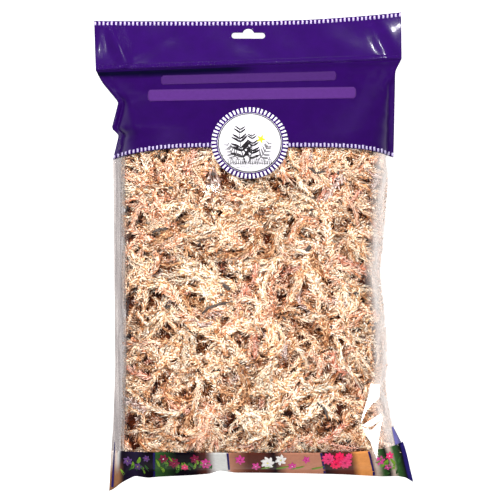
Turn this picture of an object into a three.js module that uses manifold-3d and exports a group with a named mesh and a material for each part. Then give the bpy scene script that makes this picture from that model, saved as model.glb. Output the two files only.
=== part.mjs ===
// A clear pillow bag of dried long-fibred sphagnum moss, lying on its back.
// Millimetres. X runs across the bag, Y from the bottom weld to the header, Z up from the surface it lies on.
// Two dished films are welded round the edge, and a flat header with a hang slot closes the top.
// The moss inside is a tangle of tufts, each a low matted heart with long strands arching over it.
import * as THREE from "three";
import Module from "manifold-3d";

const wasm = await Module();
wasm.setup();

// Driving dimensions
const filmWall = 0.6;
const touch = 0.3; // clearance left between pieces that touch
const seamHeight = 22; // side welds over the surface
const crownHeight = 62; // top of the filled bag
const weldShare = 0.955; // share of the half width that bulges; the rest is flat weld
const bottomWeldY = -212;
const sealY = 176.5; // cross seal under the header, on the centre line
const headerTopY = 217.5;
const crossSquareness = 3.5; // higher makes the bag's cross-section flatter on top and steeper at its sides
const bottomRun = 60; // length over which the filling rises from the bottom weld
const bottomRunY = -150;
const topRun = 122; // length over which it falls towards the cross seal
const topRunY = 50;
const sealSlant = 5.4; // the cross seal climbs by this much to each side
const cornerRise = 7.9; // the header's right corner reaches further up than its left
const cornerCurl = 5; // and it curls up off the surface
const leftEar = 16.5; // corner tips that reach past the bottom weld
const rightEar = 7.5;
const earShare = 0.84; // share of the half width where an ear begins
const earRun = 24; // height over which it runs out
const mossTopY = 122;
const mossBottomY = -200;
const mossShare = 0.915; // share of the half width that the moss fills
const mossLength = mossTopY - mossBottomY;
const mossMiddleY = (mossTopY + mossBottomY) / 2;
const shoulderY = 85; // above here the moss falls away from the front film
const shoulderDrop = 0.35;
const mossHalfWidth = 120;
const cornerRound = 16; // how far the moss's corners are rounded off

// Hang slot: a long slot with a round hump over it
const slotWidth = 32;
const slotHeight = 5.4;
const humpRadius = 5;
const slotX = -3.5;
const slotY = 204.5;

// Side outlines, as [y, x]
const leftOutline = [
  [bottomWeldY, -136.5],
  [-190, -134],
  [-165, -132],
  [-110, -130],
  [88, -132],
  [112, -126.5],
  [118, -133.5],
  [145, -127],
  [165, -143],
  [sealY, -149],
  [headerTopY, -151],
];
const rightOutline = [
  [bottomWeldY, 150],
  [-190, 145],
  [-165, 137.5],
  [-130, 130.5],
  [-110, 133],
  [-60, 130.5],
  [-20, 125],
  [15, 130],
  [88, 134.5],
  [165, 136],
  [sealY, 141.5],
  [headerTopY, 140.5],
];
// Height of the welded mid surface, as [y, z]
const seamProfile = [
  [bottomWeldY, 9],
  [-185, 17],
  [bottomRunY, seamHeight],
  [110, seamHeight],
  [150, 18],
  [sealY, 14],
  [headerTopY, 7],
];

// Strands
const strandHalfWidth = 4.4;
const strandHalfThick = 2.4;
const strandRings = 3;
const strandKnots = 4;
const strandStride = 0.17; // between a strand's knots, as a share of its tuft
const inset = 0.05; // strands keep this share of the tuft from its borders
const tuftColumns = 3;
const tuftRows = 4;
const frontLattice = [3, 5]; // arching strands on a tuft's upper side, across and along it
const backLattice = [2, 2];
const frontDepth = 7.2; // how far the heart lies below the highest strands
const backDepth = 3.6;
const rootDepth = 1.8; // how far a strand's ends go into the heart
const heartDivisions = 4;
const heartRelief = 2.2;
const wallLevel = 0.5; // where a strand runs along the moss's outer side, from its floor to its ceiling

const strawColour = 0xe3c79c;
const roseColour = 0xcf9c7c;
const printColour = 0x33156b;
const filmColour = 0xe9e7ea;

const { lerp, clamp, smoothstep } = THREE.MathUtils;

// Straight interpolation through a list of [y, value]
function along(outline, y) {
  const upper = outline.findIndex(([station]) => station >= y);
  if (upper === 0) return outline[0][1];
  if (upper < 0) return outline[outline.length - 1][1];
  const [y0, v0] = outline[upper - 1];
  const [y1, v1] = outline[upper];
  return lerp(v0, v1, (y - y0) / (y1 - y0));
}

function seededRandom(seed) {
  let state = seed;
  return () => {
    state = (state * 1664525 + 1013904223) % 4294967296;
    return state / 4294967296;
  };
}

// ---- The bag's form. t runs from -1 at the left weld to 1 at the right one.
// y is a row's place on the centre line.

function seamAt(t, y) {
  const curl = cornerCurl * smoothstep(y, sealY, headerTopY) * Math.max(t, 0) ** 3;
  return along(seamProfile, y) + curl;
}

function bulgeAcross(t) {
  const q = Math.min(Math.abs(t) / weldShare, 1);
  return (1 - q ** crossSquareness) ** 0.6;
}

function bulgeAlong(y) {
  if (y < bottomRunY) return (1 - Math.min((bottomRunY - y) / bottomRun, 1) ** 2.4) ** 0.6;
  if (y > topRunY) return (1 - Math.min((y - topRunY) / topRun, 1) ** 2) ** 1.1;
  return 1;
}

// Outer face of the upper film
function frontHeight(t, y) {
  const rise = (crownHeight - seamHeight) * bulgeAcross(t) * bulgeAlong(y);
  return seamAt(t, y) + 2 * filmWall + touch + rise;
}

// Outer face of the lower film, flat on the surface where the moss presses it down
function backHeight(t, y) {
  const pressed = Math.min(1.3 * bulgeAcross(t) ** 0.8 * bulgeAlong(y), 1);
  return seamAt(t, y) * (1 - pressed);
}

function acrossX(t, y) {
  return lerp(along(leftOutline, y), along(rightOutline, y), (t + 1) / 2);
}

function shareAcross(x, y) {
  const left = along(leftOutline, y);
  return (2 * (x - left)) / (along(rightOutline, y) - left) - 1;
}

// A row's true place: the seal slants, and the corners run out into ears at the bottom
function rowY(t, y) {
  const slant = sealSlant * t * smoothstep(y, topRunY, sealY);
  const ear = t < 0 ? leftEar : rightEar;
  const low = 1 - smoothstep(y, bottomWeldY, bottomWeldY + earRun);
  return y + slant - ear * low * smoothstep(Math.abs(t), earShare, 1);
}

// ---- Sheets

function solidFrom(positions, triangles) {
  const mesh = new wasm.Mesh({
    numProp: 3,
    vertProperties: new Float32Array(positions),
    triVerts: new Uint32Array(triangles),
  });
  return new wasm.Manifold(mesh);
}

function geometryOf(solid) {
  const { vertProperties, triVerts } = solid.getMesh();
  const geometry = new THREE.BufferGeometry();
  geometry.setAttribute("position", new THREE.BufferAttribute(vertProperties, 3));
  geometry.setIndex(new THREE.BufferAttribute(triVerts, 1));
  return geometry;
}

// A closed slab from a grid of upper points and a grid of lower points with the same layout
function slabSolid(upper, lower) {
  const rows = upper.length;
  const columns = upper[0].length;
  const positions = [...upper.flat(), ...lower.flat()].flatMap((p) => [p.x, p.y, p.z]);
  const top = (row, column) => row * columns + column;
  const under = (row, column) => rows * columns + row * columns + column;
  const triangles = [];
  const quad = (a, b, c, d) => triangles.push(a, b, c, a, c, d);
  for (let row = 0; row < rows - 1; row++) {
    for (let column = 0; column < columns - 1; column++) {
      quad(top(row, column), top(row, column + 1), top(row + 1, column + 1), top(row + 1, column));
      quad(under(row, column), under(row + 1, column), under(row + 1, column + 1), under(row, column + 1));
    }
  }
  for (let column = 0; column < columns - 1; column++) {
    const last = rows - 1;
    quad(under(0, column), under(0, column + 1), top(0, column + 1), top(0, column));
    quad(top(last, column), top(last, column + 1), under(last, column + 1), under(last, column));
  }
  for (let row = 0; row < rows - 1; row++) {
    const last = columns - 1;
    quad(top(row, 0), top(row + 1, 0), under(row + 1, 0), under(row, 0));
    quad(under(row, last), under(row + 1, last), top(row + 1, last), top(row, last));
  }
  return solidFrom(positions, triangles);
}

// The grids of a sheet that lies between two distances from a surface, measured along its upward normal
function sheetSolid(stations, shares, point, lowerLift, upperLift) {
  const step = 0.05;
  const lifted = (lift) =>
    stations.map((station) =>
      shares.map((share) => {
        const here = point(share, station);
        const across = point(share + step / 100, station).sub(point(share - step / 100, station));
        const up = point(share, station + step).sub(point(share, station - step));
        return here.addScaledVector(across.cross(up).normalize(), lift);
      }),
    );
  return slabSolid(lifted(upperLift), lifted(lowerLift));
}

const halfShares = [0.2, 0.4, 0.6, 0.76, 0.88, 0.925, weldShare, 0.999];
const shares = [...halfShares.map((share) => -share).reverse(), 0, ...halfShares];
const filmStations = [
  bottomWeldY + 0.5, -208, -200, -190, -165, -130, -110, -60, -20, 15, 50, 88, 112, 118, 145, 165, sealY,
];

function frontPoint(t, y) {
  return new THREE.Vector3(acrossX(t, y), rowY(t, y), frontHeight(t, y));
}

function backPoint(t, y) {
  return new THREE.Vector3(acrossX(t, y), rowY(t, y), backHeight(t, y));
}

// Above the cross seal, y runs on to the header's own slanting top edge
function headerPoint(t, y) {
  const share = (y - sealY) / (headerTopY - sealY);
  const top = headerTopY + cornerRise * Math.max(t, 0) ** 1.8;
  return new THREE.Vector3(acrossX(t, y), lerp(sealY + sealSlant * t, top, share), seamAt(t, y));
}

function hangSlot() {
  const halfHeight = slotHeight / 2;
  const end = slotWidth / 2 - halfHeight;
  const hump = Math.acos(halfHeight / humpRadius);
  const shape = new THREE.Shape();
  shape.moveTo(-end, -halfHeight);
  shape.lineTo(end, -halfHeight);
  shape.absarc(end, 0, halfHeight, -Math.PI / 2, Math.PI / 2, false);
  shape.absarc(0, 0, humpRadius, Math.PI / 2 - hump, Math.PI / 2 + hump, false);
  shape.absarc(-end, 0, halfHeight, Math.PI / 2, (3 * Math.PI) / 2, false);
  const cutter = new THREE.ExtrudeGeometry(shape, { depth: 60, bevelEnabled: false, curveSegments: 6 });
  cutter.translate(slotX, slotY, -20);
  return cutter;
}

function toMicron(value) {
  return Math.round(value * 1000) / 1000;
}

// Turns a three.js geometry's loose corners into shared ones and makes it a solid
function solidOfGeometry(geometry) {
  const flat = geometry.index ? geometry.toNonIndexed() : geometry;
  const place = flat.getAttribute("position");
  const known = new Map();
  const positions = [];
  const triangles = [];
  for (let i = 0; i < place.count; i++) {
    const corner = [place.getX(i), place.getY(i), place.getZ(i)].map(toMicron);
    const key = corner.join();
    if (!known.has(key)) {
      known.set(key, positions.length / 3);
      positions.push(...corner);
    }
    triangles.push(known.get(key));
  }
  return solidFrom(positions, triangles);
}

function headerSolid() {
  const stations = [sealY + touch, 190, 204, headerTopY];
  const columns = [-0.999, -0.5, 0, 0.3, 0.55, 0.8, 0.999];
  const slab = sheetSolid(stations, columns, headerPoint, 0, 2 * filmWall + touch);
  return slab.subtract(solidOfGeometry(hangSlot()));
}

// ---- Moss

const mossClear = 0.8; // free space under the front film on the flat
const mossClearEdge = 1; // and more where the films curve down to the welds

// A height field as the film's own facets carry it: straight between its stations and shares
function faceted(height) {
  const cell = (list, value) => {
    const after = list.findIndex((item) => item >= value);
    return clamp(after, 1, list.length - 1);
  };
  return (t, y) => {
    const row = cell(filmStations, y);
    const column = cell(shares, t);
    const [y0, y1] = [filmStations[row - 1], filmStations[row]];
    const [t0, t1] = [shares[column - 1], shares[column]];
    const across = (t - t0) / (t1 - t0);
    const forward = (y - y0) / (y1 - y0);
    const near = lerp(height(t0, y0), height(t1, y0), across);
    const far = lerp(height(t0, y1), height(t1, y1), across);
    return lerp(near, far, forward);
  };
}

const frontFacets = faceted(frontHeight);
const backFacets = faceted(backHeight);

// The row and share that a point of the plan lies on
function rowAndShare(x, y) {
  let row = y;
  let t = 0;
  for (let pass = 0; pass < 3; pass++) {
    t = clamp(shareAcross(x, row), -1, 1);
    row = y - (rowY(t, row) - row);
  }
  return [t, row];
}

function edgeClearance(t, row) {
  const ends = smoothstep(Math.abs(row - mossMiddleY), mossLength * 0.31, mossLength * 0.5);
  return mossClearEdge * Math.max(Math.abs(t / mossShare) ** 4, ends);
}

// Highest and lowest the moss may reach at a point of the plan
function mossCeiling(x, y) {
  const [t, row] = rowAndShare(x, y);
  const shoulder = 1 - shoulderDrop * smoothstep(row, shoulderY, mossTopY);
  const open = frontFacets(t, row) - filmWall - mossClear - edgeClearance(t, row);
  return lerp(seamAt(t, row), open, shoulder);
}

function mossFloor(x, y) {
  const [t, row] = rowAndShare(x, y);
  return backFacets(t, row) + filmWall + touch + edgeClearance(t, row);
}

// Wandering borders between neighbouring tufts
function wander(along, index) {
  return 6 * Math.sin(along / 26 + 2 * index) + 3 * Math.sin(along / 8 + 4 * index);
}

function columnBorder(index, y) {
  const edge = mossShare * lerp(-1, 1, index / tuftColumns);
  const inner = index > 0 && index < tuftColumns;
  return acrossX(edge, y) + (inner ? wander(y, index) : 0);
}

function rowBorder(index, x) {
  const edge = lerp(mossBottomY, mossTopY, index / tuftRows);
  const inner = index > 0 && index < tuftRows;
  const corner = cornerRound * Math.abs(x / mossHalfWidth) ** 4;
  const rounded = index === 0 ? corner : -corner;
  return edge + (inner ? wander(x, index) : rounded);
}

const tuftInset = 0.8; // a tuft's heart keeps this far inside its borders

// Plan position inside a tuft: a and b run from 0 to 1 across and along it
function planPoint(row, column, a, b, margin = tuftInset) {
  let x = 0;
  let y = lerp(mossBottomY, mossTopY, (row + b) / tuftRows);
  for (let pass = 0; pass < 4; pass++) {
    x = lerp(columnBorder(column, y) + margin, columnBorder(column + 1, y) - margin, a);
    y = lerp(rowBorder(row, x) + margin, rowBorder(row + 1, x) - margin, b);
  }
  return [x, y];
}

// The room a tuft may take between its neighbours, open towards the outside of the moss
function tuftRoom(row, column) {
  const divisions = 12;
  const outward = 9;
  const grid = (z) => {
    const rows = [];
    for (let j = 0; j <= divisions; j++) {
      const line = [];
      for (let i = 0; i <= divisions; i++) {
        const [x, y] = planPoint(row, column, i / divisions, j / divisions, touch / 2);
        const left = column === 0 && i === 0 ? outward : 0;
        const right = column === tuftColumns - 1 && i === divisions ? outward : 0;
        const bottom = row === 0 && j === 0 ? outward : 0;
        const top = row === tuftRows - 1 && j === divisions ? outward : 0;
        line.push(new THREE.Vector3(x - left + right, y - bottom + top, z));
      }
      rows.push(line);
    }
    return rows;
  };
  return slabSolid(grid(crownHeight + 10), grid(-10));
}

// The matted heart of a tuft: a low cushion with a lumpy top, which the strands stand out of
function tuftHeart(row, column, random) {
  const grid = (height) => {
    const rows = [];
    for (let j = 0; j <= heartDivisions; j++) {
      const line = [];
      for (let i = 0; i <= heartDivisions; i++) {
        const [x, y] = planPoint(row, column, i / heartDivisions, j / heartDivisions);
        line.push(new THREE.Vector3(x, y, height(x, y)));
      }
      rows.push(line);
    }
    return rows;
  };
  const upper = grid((x, y) => mossCeiling(x, y) - frontDepth + heartRelief * (random() - 0.5));
  const lower = grid((x, y) => mossFloor(x, y) + backDepth + heartRelief * (random() - 0.5));
  return slabSolid(upper, lower);
}

// A three-sided strand that tapers to both tips. Each ring is turned a little, so the strand twists.
function strandSolid(points, random) {
  const curve = new THREE.CatmullRomCurve3(points);
  const positions = [];
  const triangles = [];
  const sides = 3;
  const up = new THREE.Vector3(0, 0, 1);
  let twist = Math.PI / 2 + 0.5 * (random() - 0.5);
  const first = curve.getPointAt(0);
  positions.push(first.x, first.y, first.z);
  for (let ring = 0; ring < strandRings; ring++) {
    const share = (ring + 0.6) / (strandRings + 0.2);
    const centre = curve.getPointAt(share);
    const tangent = curve.getTangentAt(share);
    const side = new THREE.Vector3().crossVectors(up, tangent).normalize();
    const normal = new THREE.Vector3().crossVectors(tangent, side).normalize();
    const swell = (0.75 + 0.25 * Math.sin(Math.PI * share)) * (0.88 + 0.24 * random());
    for (let corner = 0; corner < sides; corner++) {
      const angle = twist + (corner * 2 * Math.PI) / sides;
      const p = centre
        .clone()
        .addScaledVector(side, strandHalfWidth * swell * Math.cos(angle))
        .addScaledVector(normal, strandHalfThick * swell * Math.sin(angle));
      positions.push(p.x, p.y, clamp(p.z, mossFloor(p.x, p.y), mossCeiling(p.x, p.y)));
    }
    twist += (random() - 0.5) * 0.3;
  }
  const last = curve.getPointAt(1);
  positions.push(last.x, last.y, last.z);
  const corner = (ring, index) => 1 + ring * sides + (index % sides);
  const tip = positions.length / 3 - 1;
  for (let i = 0; i < sides; i++) {
    triangles.push(0, corner(0, i + 1), corner(0, i));
    triangles.push(tip, corner(strandRings - 1, i), corner(strandRings - 1, i + 1));
    for (let ring = 0; ring < strandRings - 1; ring++) {
      triangles.push(corner(ring, i), corner(ring, i + 1), corner(ring + 1, i + 1));
      triangles.push(corner(ring, i), corner(ring + 1, i + 1), corner(ring + 1, i));
    }
  }
  return solidFrom(positions, triangles);
}

// The lie of the strands in a tuft: a heading for each place in it, turning in slow swirls
function lieOf(random) {
  const base = 2 * Math.PI * random();
  const [turnA, turnB, phaseA, phaseB] = [0, 1, 2, 3].map(() => random());
  return (a, b) =>
    base + (0.5 + turnA) * Math.sin(5 * a + 6 * phaseA) + (0.5 + turnB) * Math.sin(4 * b + 6 * phaseB);
}

// A path along the lie of the tuft. Its ends are rooted in the heart, and it arches clear of it between them.
function strandPath(row, column, random, lie, height, middle) {
  const stride = (0.9 + 0.25 * random()) * strandStride;
  const stray = 0.9 * (random() - 0.5);
  const walk = (direction) => {
    let [a, b] = middle;
    const steps = [];
    for (let knot = 0; knot < strandKnots / 2; knot++) {
      const length = direction * stride * (knot === 0 ? 0.5 : 1);
      const heading = lie(a, b) + stray;
      a = clamp(a + length * Math.cos(heading), inset, 1 - inset);
      b = clamp(b + length * Math.sin(heading), inset, 1 - inset);
      steps.push([a, b]);
    }
    return steps;
  };
  const plan = [...walk(-1).reverse(), ...walk(1)];
  return plan.map(([a, b], knot) => {
    const [x, y] = planPoint(row, column, a, b);
    const root = knot === 0 || knot === plan.length - 1;
    return new THREE.Vector3(x, y, height(x, y, root));
  });
}

// A path that hugs an outer wall of the moss, part way up it
function wallPath(row, column, random, edge) {
  const path = [];
  const from = 0.1 + 0.2 * random();
  const to = 0.9 - 0.2 * random();
  for (let knot = 0; knot < strandKnots; knot++) {
    const share = lerp(from, to, knot / (strandKnots - 1));
    const [a, b] = edge(share);
    const [x, y] = planPoint(row, column, a, b);
    const z = lerp(mossFloor(x, y), mossCeiling(x, y), wallLevel + 0.3 * (random() - 0.5));
    path.push(new THREE.Vector3(x, y, z));
  }
  return path;
}

// The largest closed surface of a fused solid: sealed hollows fill up and loose scraps go
function outerShell(solid) {
  const bodies = solidOfGeometry(geometryOf(solid)).decompose();
  return bodies.reduce((best, body) => (body.volume() > best.volume() ? body : best));
}

// True where four faces of a fused solid meet in one edge
function pinched(solid) {
  const { vertProperties, triVerts } = solid.getMesh();
  const corner = (index) =>
    Array.from(vertProperties.slice(3 * index, 3 * index + 3), (value) => value.toFixed(4)).join();
  const uses = new Map();
  for (let i = 0; i < triVerts.length; i += 3) {
    const names = [0, 1, 2].map((k) => corner(triVerts[i + k]));
    for (let k = 0; k < 3; k++) {
      const edge = [names[k], names[(k + 1) % 3]].sort().join("|");
      uses.set(edge, (uses.get(edge) || 0) + 1);
    }
  }
  return [...uses.values()].some((count) => count !== 2);
}

// Draws a tuft's strands again until they fuse into a clean solid
function cleanTuft(row, column) {
  let seed = 101 + 17 * row + 5 * column;
  let tuft = tuftSolid(row, column, seededRandom(seed));
  while (pinched(tuft)) {
    seed += 1000;
    tuft = tuftSolid(row, column, seededRandom(seed));
  }
  return tuft;
}

// Middles for a tuft's strands, one in each cell of a jittered lattice
function strandMiddles(columns, rows, random) {
  const middles = [];
  for (let j = 0; j < rows; j++) {
    for (let i = 0; i < columns; i++) {
      const shift = j % 2 ? 0.25 : -0.25;
      const across = i + 0.5 + shift + 0.4 * (random() - 0.5);
      const forward = j + 0.5 + 0.5 * (random() - 0.5);
      middles.push([across / columns, forward / rows]);
    }
  }
  return middles;
}

function tuftSolid(row, column, random) {
  let tuft = tuftHeart(row, column, random);
  const lie = lieOf(random);
  for (const middle of strandMiddles(...frontLattice, random)) {
    const depth = strandHalfThick + 0.3 + 1.8 * random();
    const height = (x, y, root) => mossCeiling(x, y) - (root ? frontDepth + rootDepth : depth);
    tuft = tuft.add(strandSolid(strandPath(row, column, random, lie, height, middle), random));
  }
  for (const middle of strandMiddles(...backLattice, random)) {
    const depth = strandHalfThick - 0.3 * random();
    const height = (x, y, root) => mossFloor(x, y) + (root ? backDepth + rootDepth : depth);
    tuft = tuft.add(strandSolid(strandPath(row, column, random, lie, height, middle), random));
  }
  const walls = [];
  if (column === 0) walls.push((share) => [0.01, share]);
  if (column === tuftColumns - 1) walls.push((share) => [0.99, share]);
  if (row === 0) walls.push((share) => [share, 0.01]);
  if (row === tuftRows - 1) walls.push((share) => [share, 0.99]);
  for (const wall of walls) {
    tuft = tuft.add(strandSolid(wallPath(row, column, random, wall), random));
  }
  return outerShell(tuft.intersect(tuftRoom(row, column)));
}

// ---- The assembly

const group = new THREE.Group();

function addPiece(name, solid, color, roughness, extra = {}) {
  const material = new THREE.MeshStandardMaterial({ color, roughness, metalness: 0, ...extra });
  const mesh = new THREE.Mesh(geometryOf(solid), material);
  mesh.name = name;
  group.add(mesh);
}

const clearLook = { transparent: true, opacity: 0.35 };
addPiece("front_film", sheetSolid(filmStations, shares, frontPoint, -filmWall, 0), filmColour, 0.15, clearLook);
addPiece("back_film", sheetSolid(filmStations, shares, backPoint, 0, filmWall), filmColour, 0.15, clearLook);
addPiece("header", headerSolid(), printColour, 0.3);

for (let row = 0; row < tuftRows; row++) {
  for (let column = 0; column < tuftColumns; column++) {
    const color = (row + column) % 3 === 1 ? roseColour : strawColour;
    addPiece(`moss_tuft_row${row + 1}_col${column + 1}`, cleanTuft(row, column), color, 0.95);
  }
}

export default group;
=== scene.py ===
import math

import bpy
import numpy as np
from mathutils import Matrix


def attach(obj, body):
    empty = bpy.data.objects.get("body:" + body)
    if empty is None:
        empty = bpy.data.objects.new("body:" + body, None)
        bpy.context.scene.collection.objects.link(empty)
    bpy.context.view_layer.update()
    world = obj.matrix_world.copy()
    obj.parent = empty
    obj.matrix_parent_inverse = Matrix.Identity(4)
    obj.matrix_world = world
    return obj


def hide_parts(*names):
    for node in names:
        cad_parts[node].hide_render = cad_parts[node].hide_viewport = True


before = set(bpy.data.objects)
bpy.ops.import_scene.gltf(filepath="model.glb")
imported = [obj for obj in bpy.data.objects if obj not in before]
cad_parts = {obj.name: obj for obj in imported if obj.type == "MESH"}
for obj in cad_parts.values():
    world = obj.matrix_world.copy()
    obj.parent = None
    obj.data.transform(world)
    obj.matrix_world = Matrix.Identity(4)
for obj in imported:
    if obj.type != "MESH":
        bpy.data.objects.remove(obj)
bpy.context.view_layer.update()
bpy.ops.object.select_all(action="DESELECT")
print("frame loaded:", len(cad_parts), "nodes")

# the bag's form: t runs from -1 at the left weld to 1 at the right, row is a place on its centre line
bag = {
    "wall": 0.0015,  # from the seam to the outer face of the front film
    "seamZ": 0.022,
    "crownZ": 0.062,
    "weldShare": 0.955,
    "squareness": 3.5,
    "bottomRow": -0.2115,
    "sealRow": 0.1765,
    "topRow": 0.2175,
    "sealSlant": 0.0054,
    "cornerRise": 0.0079,
    "cornerCurl": 0.005,
    "ears": (0.0165, 0.0075),
    "earShare": 0.84,
    "earRun": 0.024,
    "leftSide": (
        (-0.212, -0.1365), (-0.19, -0.134), (-0.165, -0.132), (-0.11, -0.13), (0.088, -0.132),
        (0.112, -0.1265), (0.118, -0.1335), (0.145, -0.127), (0.165, -0.143), (0.1765, -0.149),
        (0.2175, -0.151),
    ),
    "rightSide": (
        (-0.212, 0.1540), (-0.19, 0.1465), (-0.165, 0.1375), (-0.13, 0.1305), (-0.11, 0.133), (-0.06, 0.1305),
        (-0.02, 0.125), (0.015, 0.13), (0.088, 0.1345), (0.165, 0.1365), (0.1765, 0.1428), (0.2175, 0.1422),
    ),
    "seam": (
        (-0.212, 0.009), (-0.185, 0.017), (-0.15, 0.022), (0.11, 0.022), (0.15, 0.018), (0.1765, 0.014),
        (0.2175, 0.007),
    ),
}


def ease(value, low, high):
    share = np.clip((value - low) / (high - low), 0, 1)
    return share * share * (3 - 2 * share)


def lineAt(points, place, reach=0.0015):  # the line through the points, its corners eased
    places, values = np.array(points).T
    return sum(np.interp(place + shift, places, values) for shift in (-reach, 0.0, reach)) / 3


def seamZ(t, row):
    curl = bag["cornerCurl"] * ease(row, bag["sealRow"], bag["topRow"]) * np.maximum(t, 0) ** 3
    return lineAt(bag["seam"], row) + curl


def bulge(t, row):
    across = 1 - np.minimum(np.abs(t) / bag["weldShare"], 1) ** bag["squareness"]
    low = 1 - np.clip((-0.15 - row) / 0.06, 0, 1) ** 2.4
    high = 1 - np.clip((row - 0.05) / 0.122, 0, 1) ** 2
    return across, low**0.6 * high**1.1


def frontZ(t, row):
    across, forward = bulge(t, row)
    return seamZ(t, row) + bag["wall"] + (bag["crownZ"] - bag["seamZ"]) * across**0.6 * forward


def backZ(t, row):
    across, forward = bulge(t, row)
    return seamZ(t, row) * (1 - np.minimum(1.3 * across**0.48 * forward, 1))


def sideX(t, row):
    left, right = lineAt(bag["leftSide"], row), lineAt(bag["rightSide"], row)
    return left + (right - left) * (t + 1) / 2


def slantOf(t, row):
    ears = np.where(t < 0, bag["ears"][0], bag["ears"][1])
    low = 1 - ease(row, bag["bottomRow"], bag["bottomRow"] + bag["earRun"])
    slant = bag["sealSlant"] * t * ease(row, 0.05, bag["sealRow"])
    return slant - ears * low * ease(np.abs(t), bag["earShare"], 1)


def rowOf(t, y):
    row = y + 0 * t
    for _ in range(10):  # half steps, as the ears are steep
        row = (row + y - slantOf(t, row)) / 2
    return row


def shareAndRow(x, y):
    t = 0 * x
    row = y + 0 * x
    for _ in range(10):
        left, right = lineAt(bag["leftSide"], row), lineAt(bag["rightSide"], row)
        t = np.clip(2 * (x - left) / (right - left) - 1, -1, 1)
        row = (row + y - slantOf(t, row)) / 2
    return t, row


def sealLine(t):
    return bag["sealRow"] + bag["sealSlant"] * t


def topLine(t):
    return bag["topRow"] + 0.0012 + bag["cornerRise"] * np.maximum(t, 0) ** 1.8


bottomEdge = (  # the wavy bottom weld, with an ear at each corner
    (-1.0, -0.2302), (-0.965, -0.2278), (-0.925, -0.2228), (-0.885, -0.2195), (-0.83, -0.2155),
    (-0.745, -0.2175), (-0.68, -0.2165), (-0.46, -0.2150), (-0.335, -0.2135), (-0.275, -0.2102),
    (-0.17, -0.2126), (0.0, -0.2127), (0.27, -0.2132), (0.54, -0.2142), (0.79, -0.2162),
    (0.90, -0.2158), (0.955, -0.2172), (1.0, -0.2218),
)


def bottomLine(t):
    return lineAt(bottomEdge, t, 0.012)


def printLine(t):  # lower edge of the printed panel, which drops towards both sides
    return 0.0962 - np.where(t < 0, 0.0104 * np.abs(t) ** 4.1, 0.0085 * np.abs(t) ** 6)


def stripLine(t):  # upper edge of the printed strip along the bottom
    return -0.1908 + 0.0085 * np.maximum(t, 0) ** 6


# creases of the films: from x, y to x, y, then width and height; one that fades starts full and runs out
creases = {
    "handMade": (
        (-0.1368, 0.2185, -0.1178, 0.1748, 0.0075, 0.0042, False),
        (-0.1207, 0.1786, -0.0637, 0.2109, 0.0060, 0.0014, True),
        (0.1140, 0.2166, 0.1330, 0.1786, 0.0070, 0.0018, False),
        (-0.1510, 0.1729, -0.1254, 0.1444, 0.0040, 0.0034, False),
        (-0.1254, 0.1444, -0.1320, 0.1140, 0.0036, 0.0030, False),
        (-0.1200, 0.1500, -0.1080, 0.1050, 0.0050, 0.0018, False),
        (0.1410, 0.1750, 0.1240, 0.1530, 0.0032, 0.0022, False),
        (0.1300, 0.1560, 0.1180, 0.1180, 0.0040, 0.0014, True),
        (0.0740, 0.1760, 0.1180, 0.1690, 0.0034, 0.0020, False),
        (0.0740, 0.1760, 0.0960, 0.1640, 0.0032, 0.0016, False),
    ),
    "sides": 30,  # puckers along each side weld
    "ends": 24,  # pleats below the cross seal and above the bottom weld
    "window": 34,  # long faint creases over the moss
}


def scatterCreases(seed):
    dice = np.random.default_rng(seed)
    found = list(creases["handMade"])
    for side in (-1, 1):
        for n in range(creases["sides"]):
            row = -0.195 + 0.36 * (n + dice.random()) / creases["sides"]
            outer, inner = side * 0.97, side * (0.97 - dice.uniform(0.1, 0.32))
            x0, x1 = float(sideX(outer, row)), float(sideX(inner, row))
            found.append((x0, row, x1, row + dice.uniform(-0.014, 0.014), dice.uniform(0.0018, 0.0034),
                          dice.uniform(0.0005, 0.0017), True))
    for n in range(creases["ends"]):
        x = -0.13 + 0.27 * (n + dice.random()) / creases["ends"]
        found.append((x, 0.171, x + dice.uniform(-0.014, 0.014), 0.171 - dice.uniform(0.015, 0.05),
                      dice.uniform(0.002, 0.004), dice.uniform(0.0004, 0.0010), True))
        x = -0.13 + 0.27 * (n + dice.random()) / creases["ends"]
        found.append((x, -0.209, x + dice.uniform(-0.01, 0.01), -0.209 + dice.uniform(0.012, 0.04),
                      dice.uniform(0.002, 0.0036), dice.uniform(0.0005, 0.0014), True))
    for n in range(creases["window"]):
        x, y = dice.uniform(-0.11, 0.11), dice.uniform(-0.18, 0.09)
        turn, reach = dice.uniform(0, math.pi), dice.uniform(0.03, 0.08)
        x1, y1 = x + reach * math.cos(turn), y + reach * math.sin(turn)
        found.append((x, y, x1, y1, dice.uniform(0.002, 0.004), dice.uniform(0.0002, 0.0006), False))
    return found


filmCreases = scatterCreases(5)


def besideLine(x, y, x0, y0, x1, y1):  # share of the way along a straight line, and the distance from it
    dx, dy = x1 - x0, y1 - y0
    along = np.clip(((x - x0) * dx + (y - y0) * dy) / (dx * dx + dy * dy), 0, 1)
    return along, np.hypot(x - x0 - along * dx, y - y0 - along * dy)


def creaseLift(x, y):
    lift = np.zeros(np.broadcast(x, y).shape)
    for x0, y0, x1, y1, width, height, fades in filmCreases:
        along, off = besideLine(x, y, x0, y0, x1, y1)
        if fades:
            strength = (1 - along) * ease(along, 0, 0.15)
        else:
            strength = np.sqrt(np.clip(4 * along * (1 - along), 0, 1))
        lift = np.maximum(lift, height * strength * np.exp(-((off / width) ** 2)))
    return lift


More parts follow.
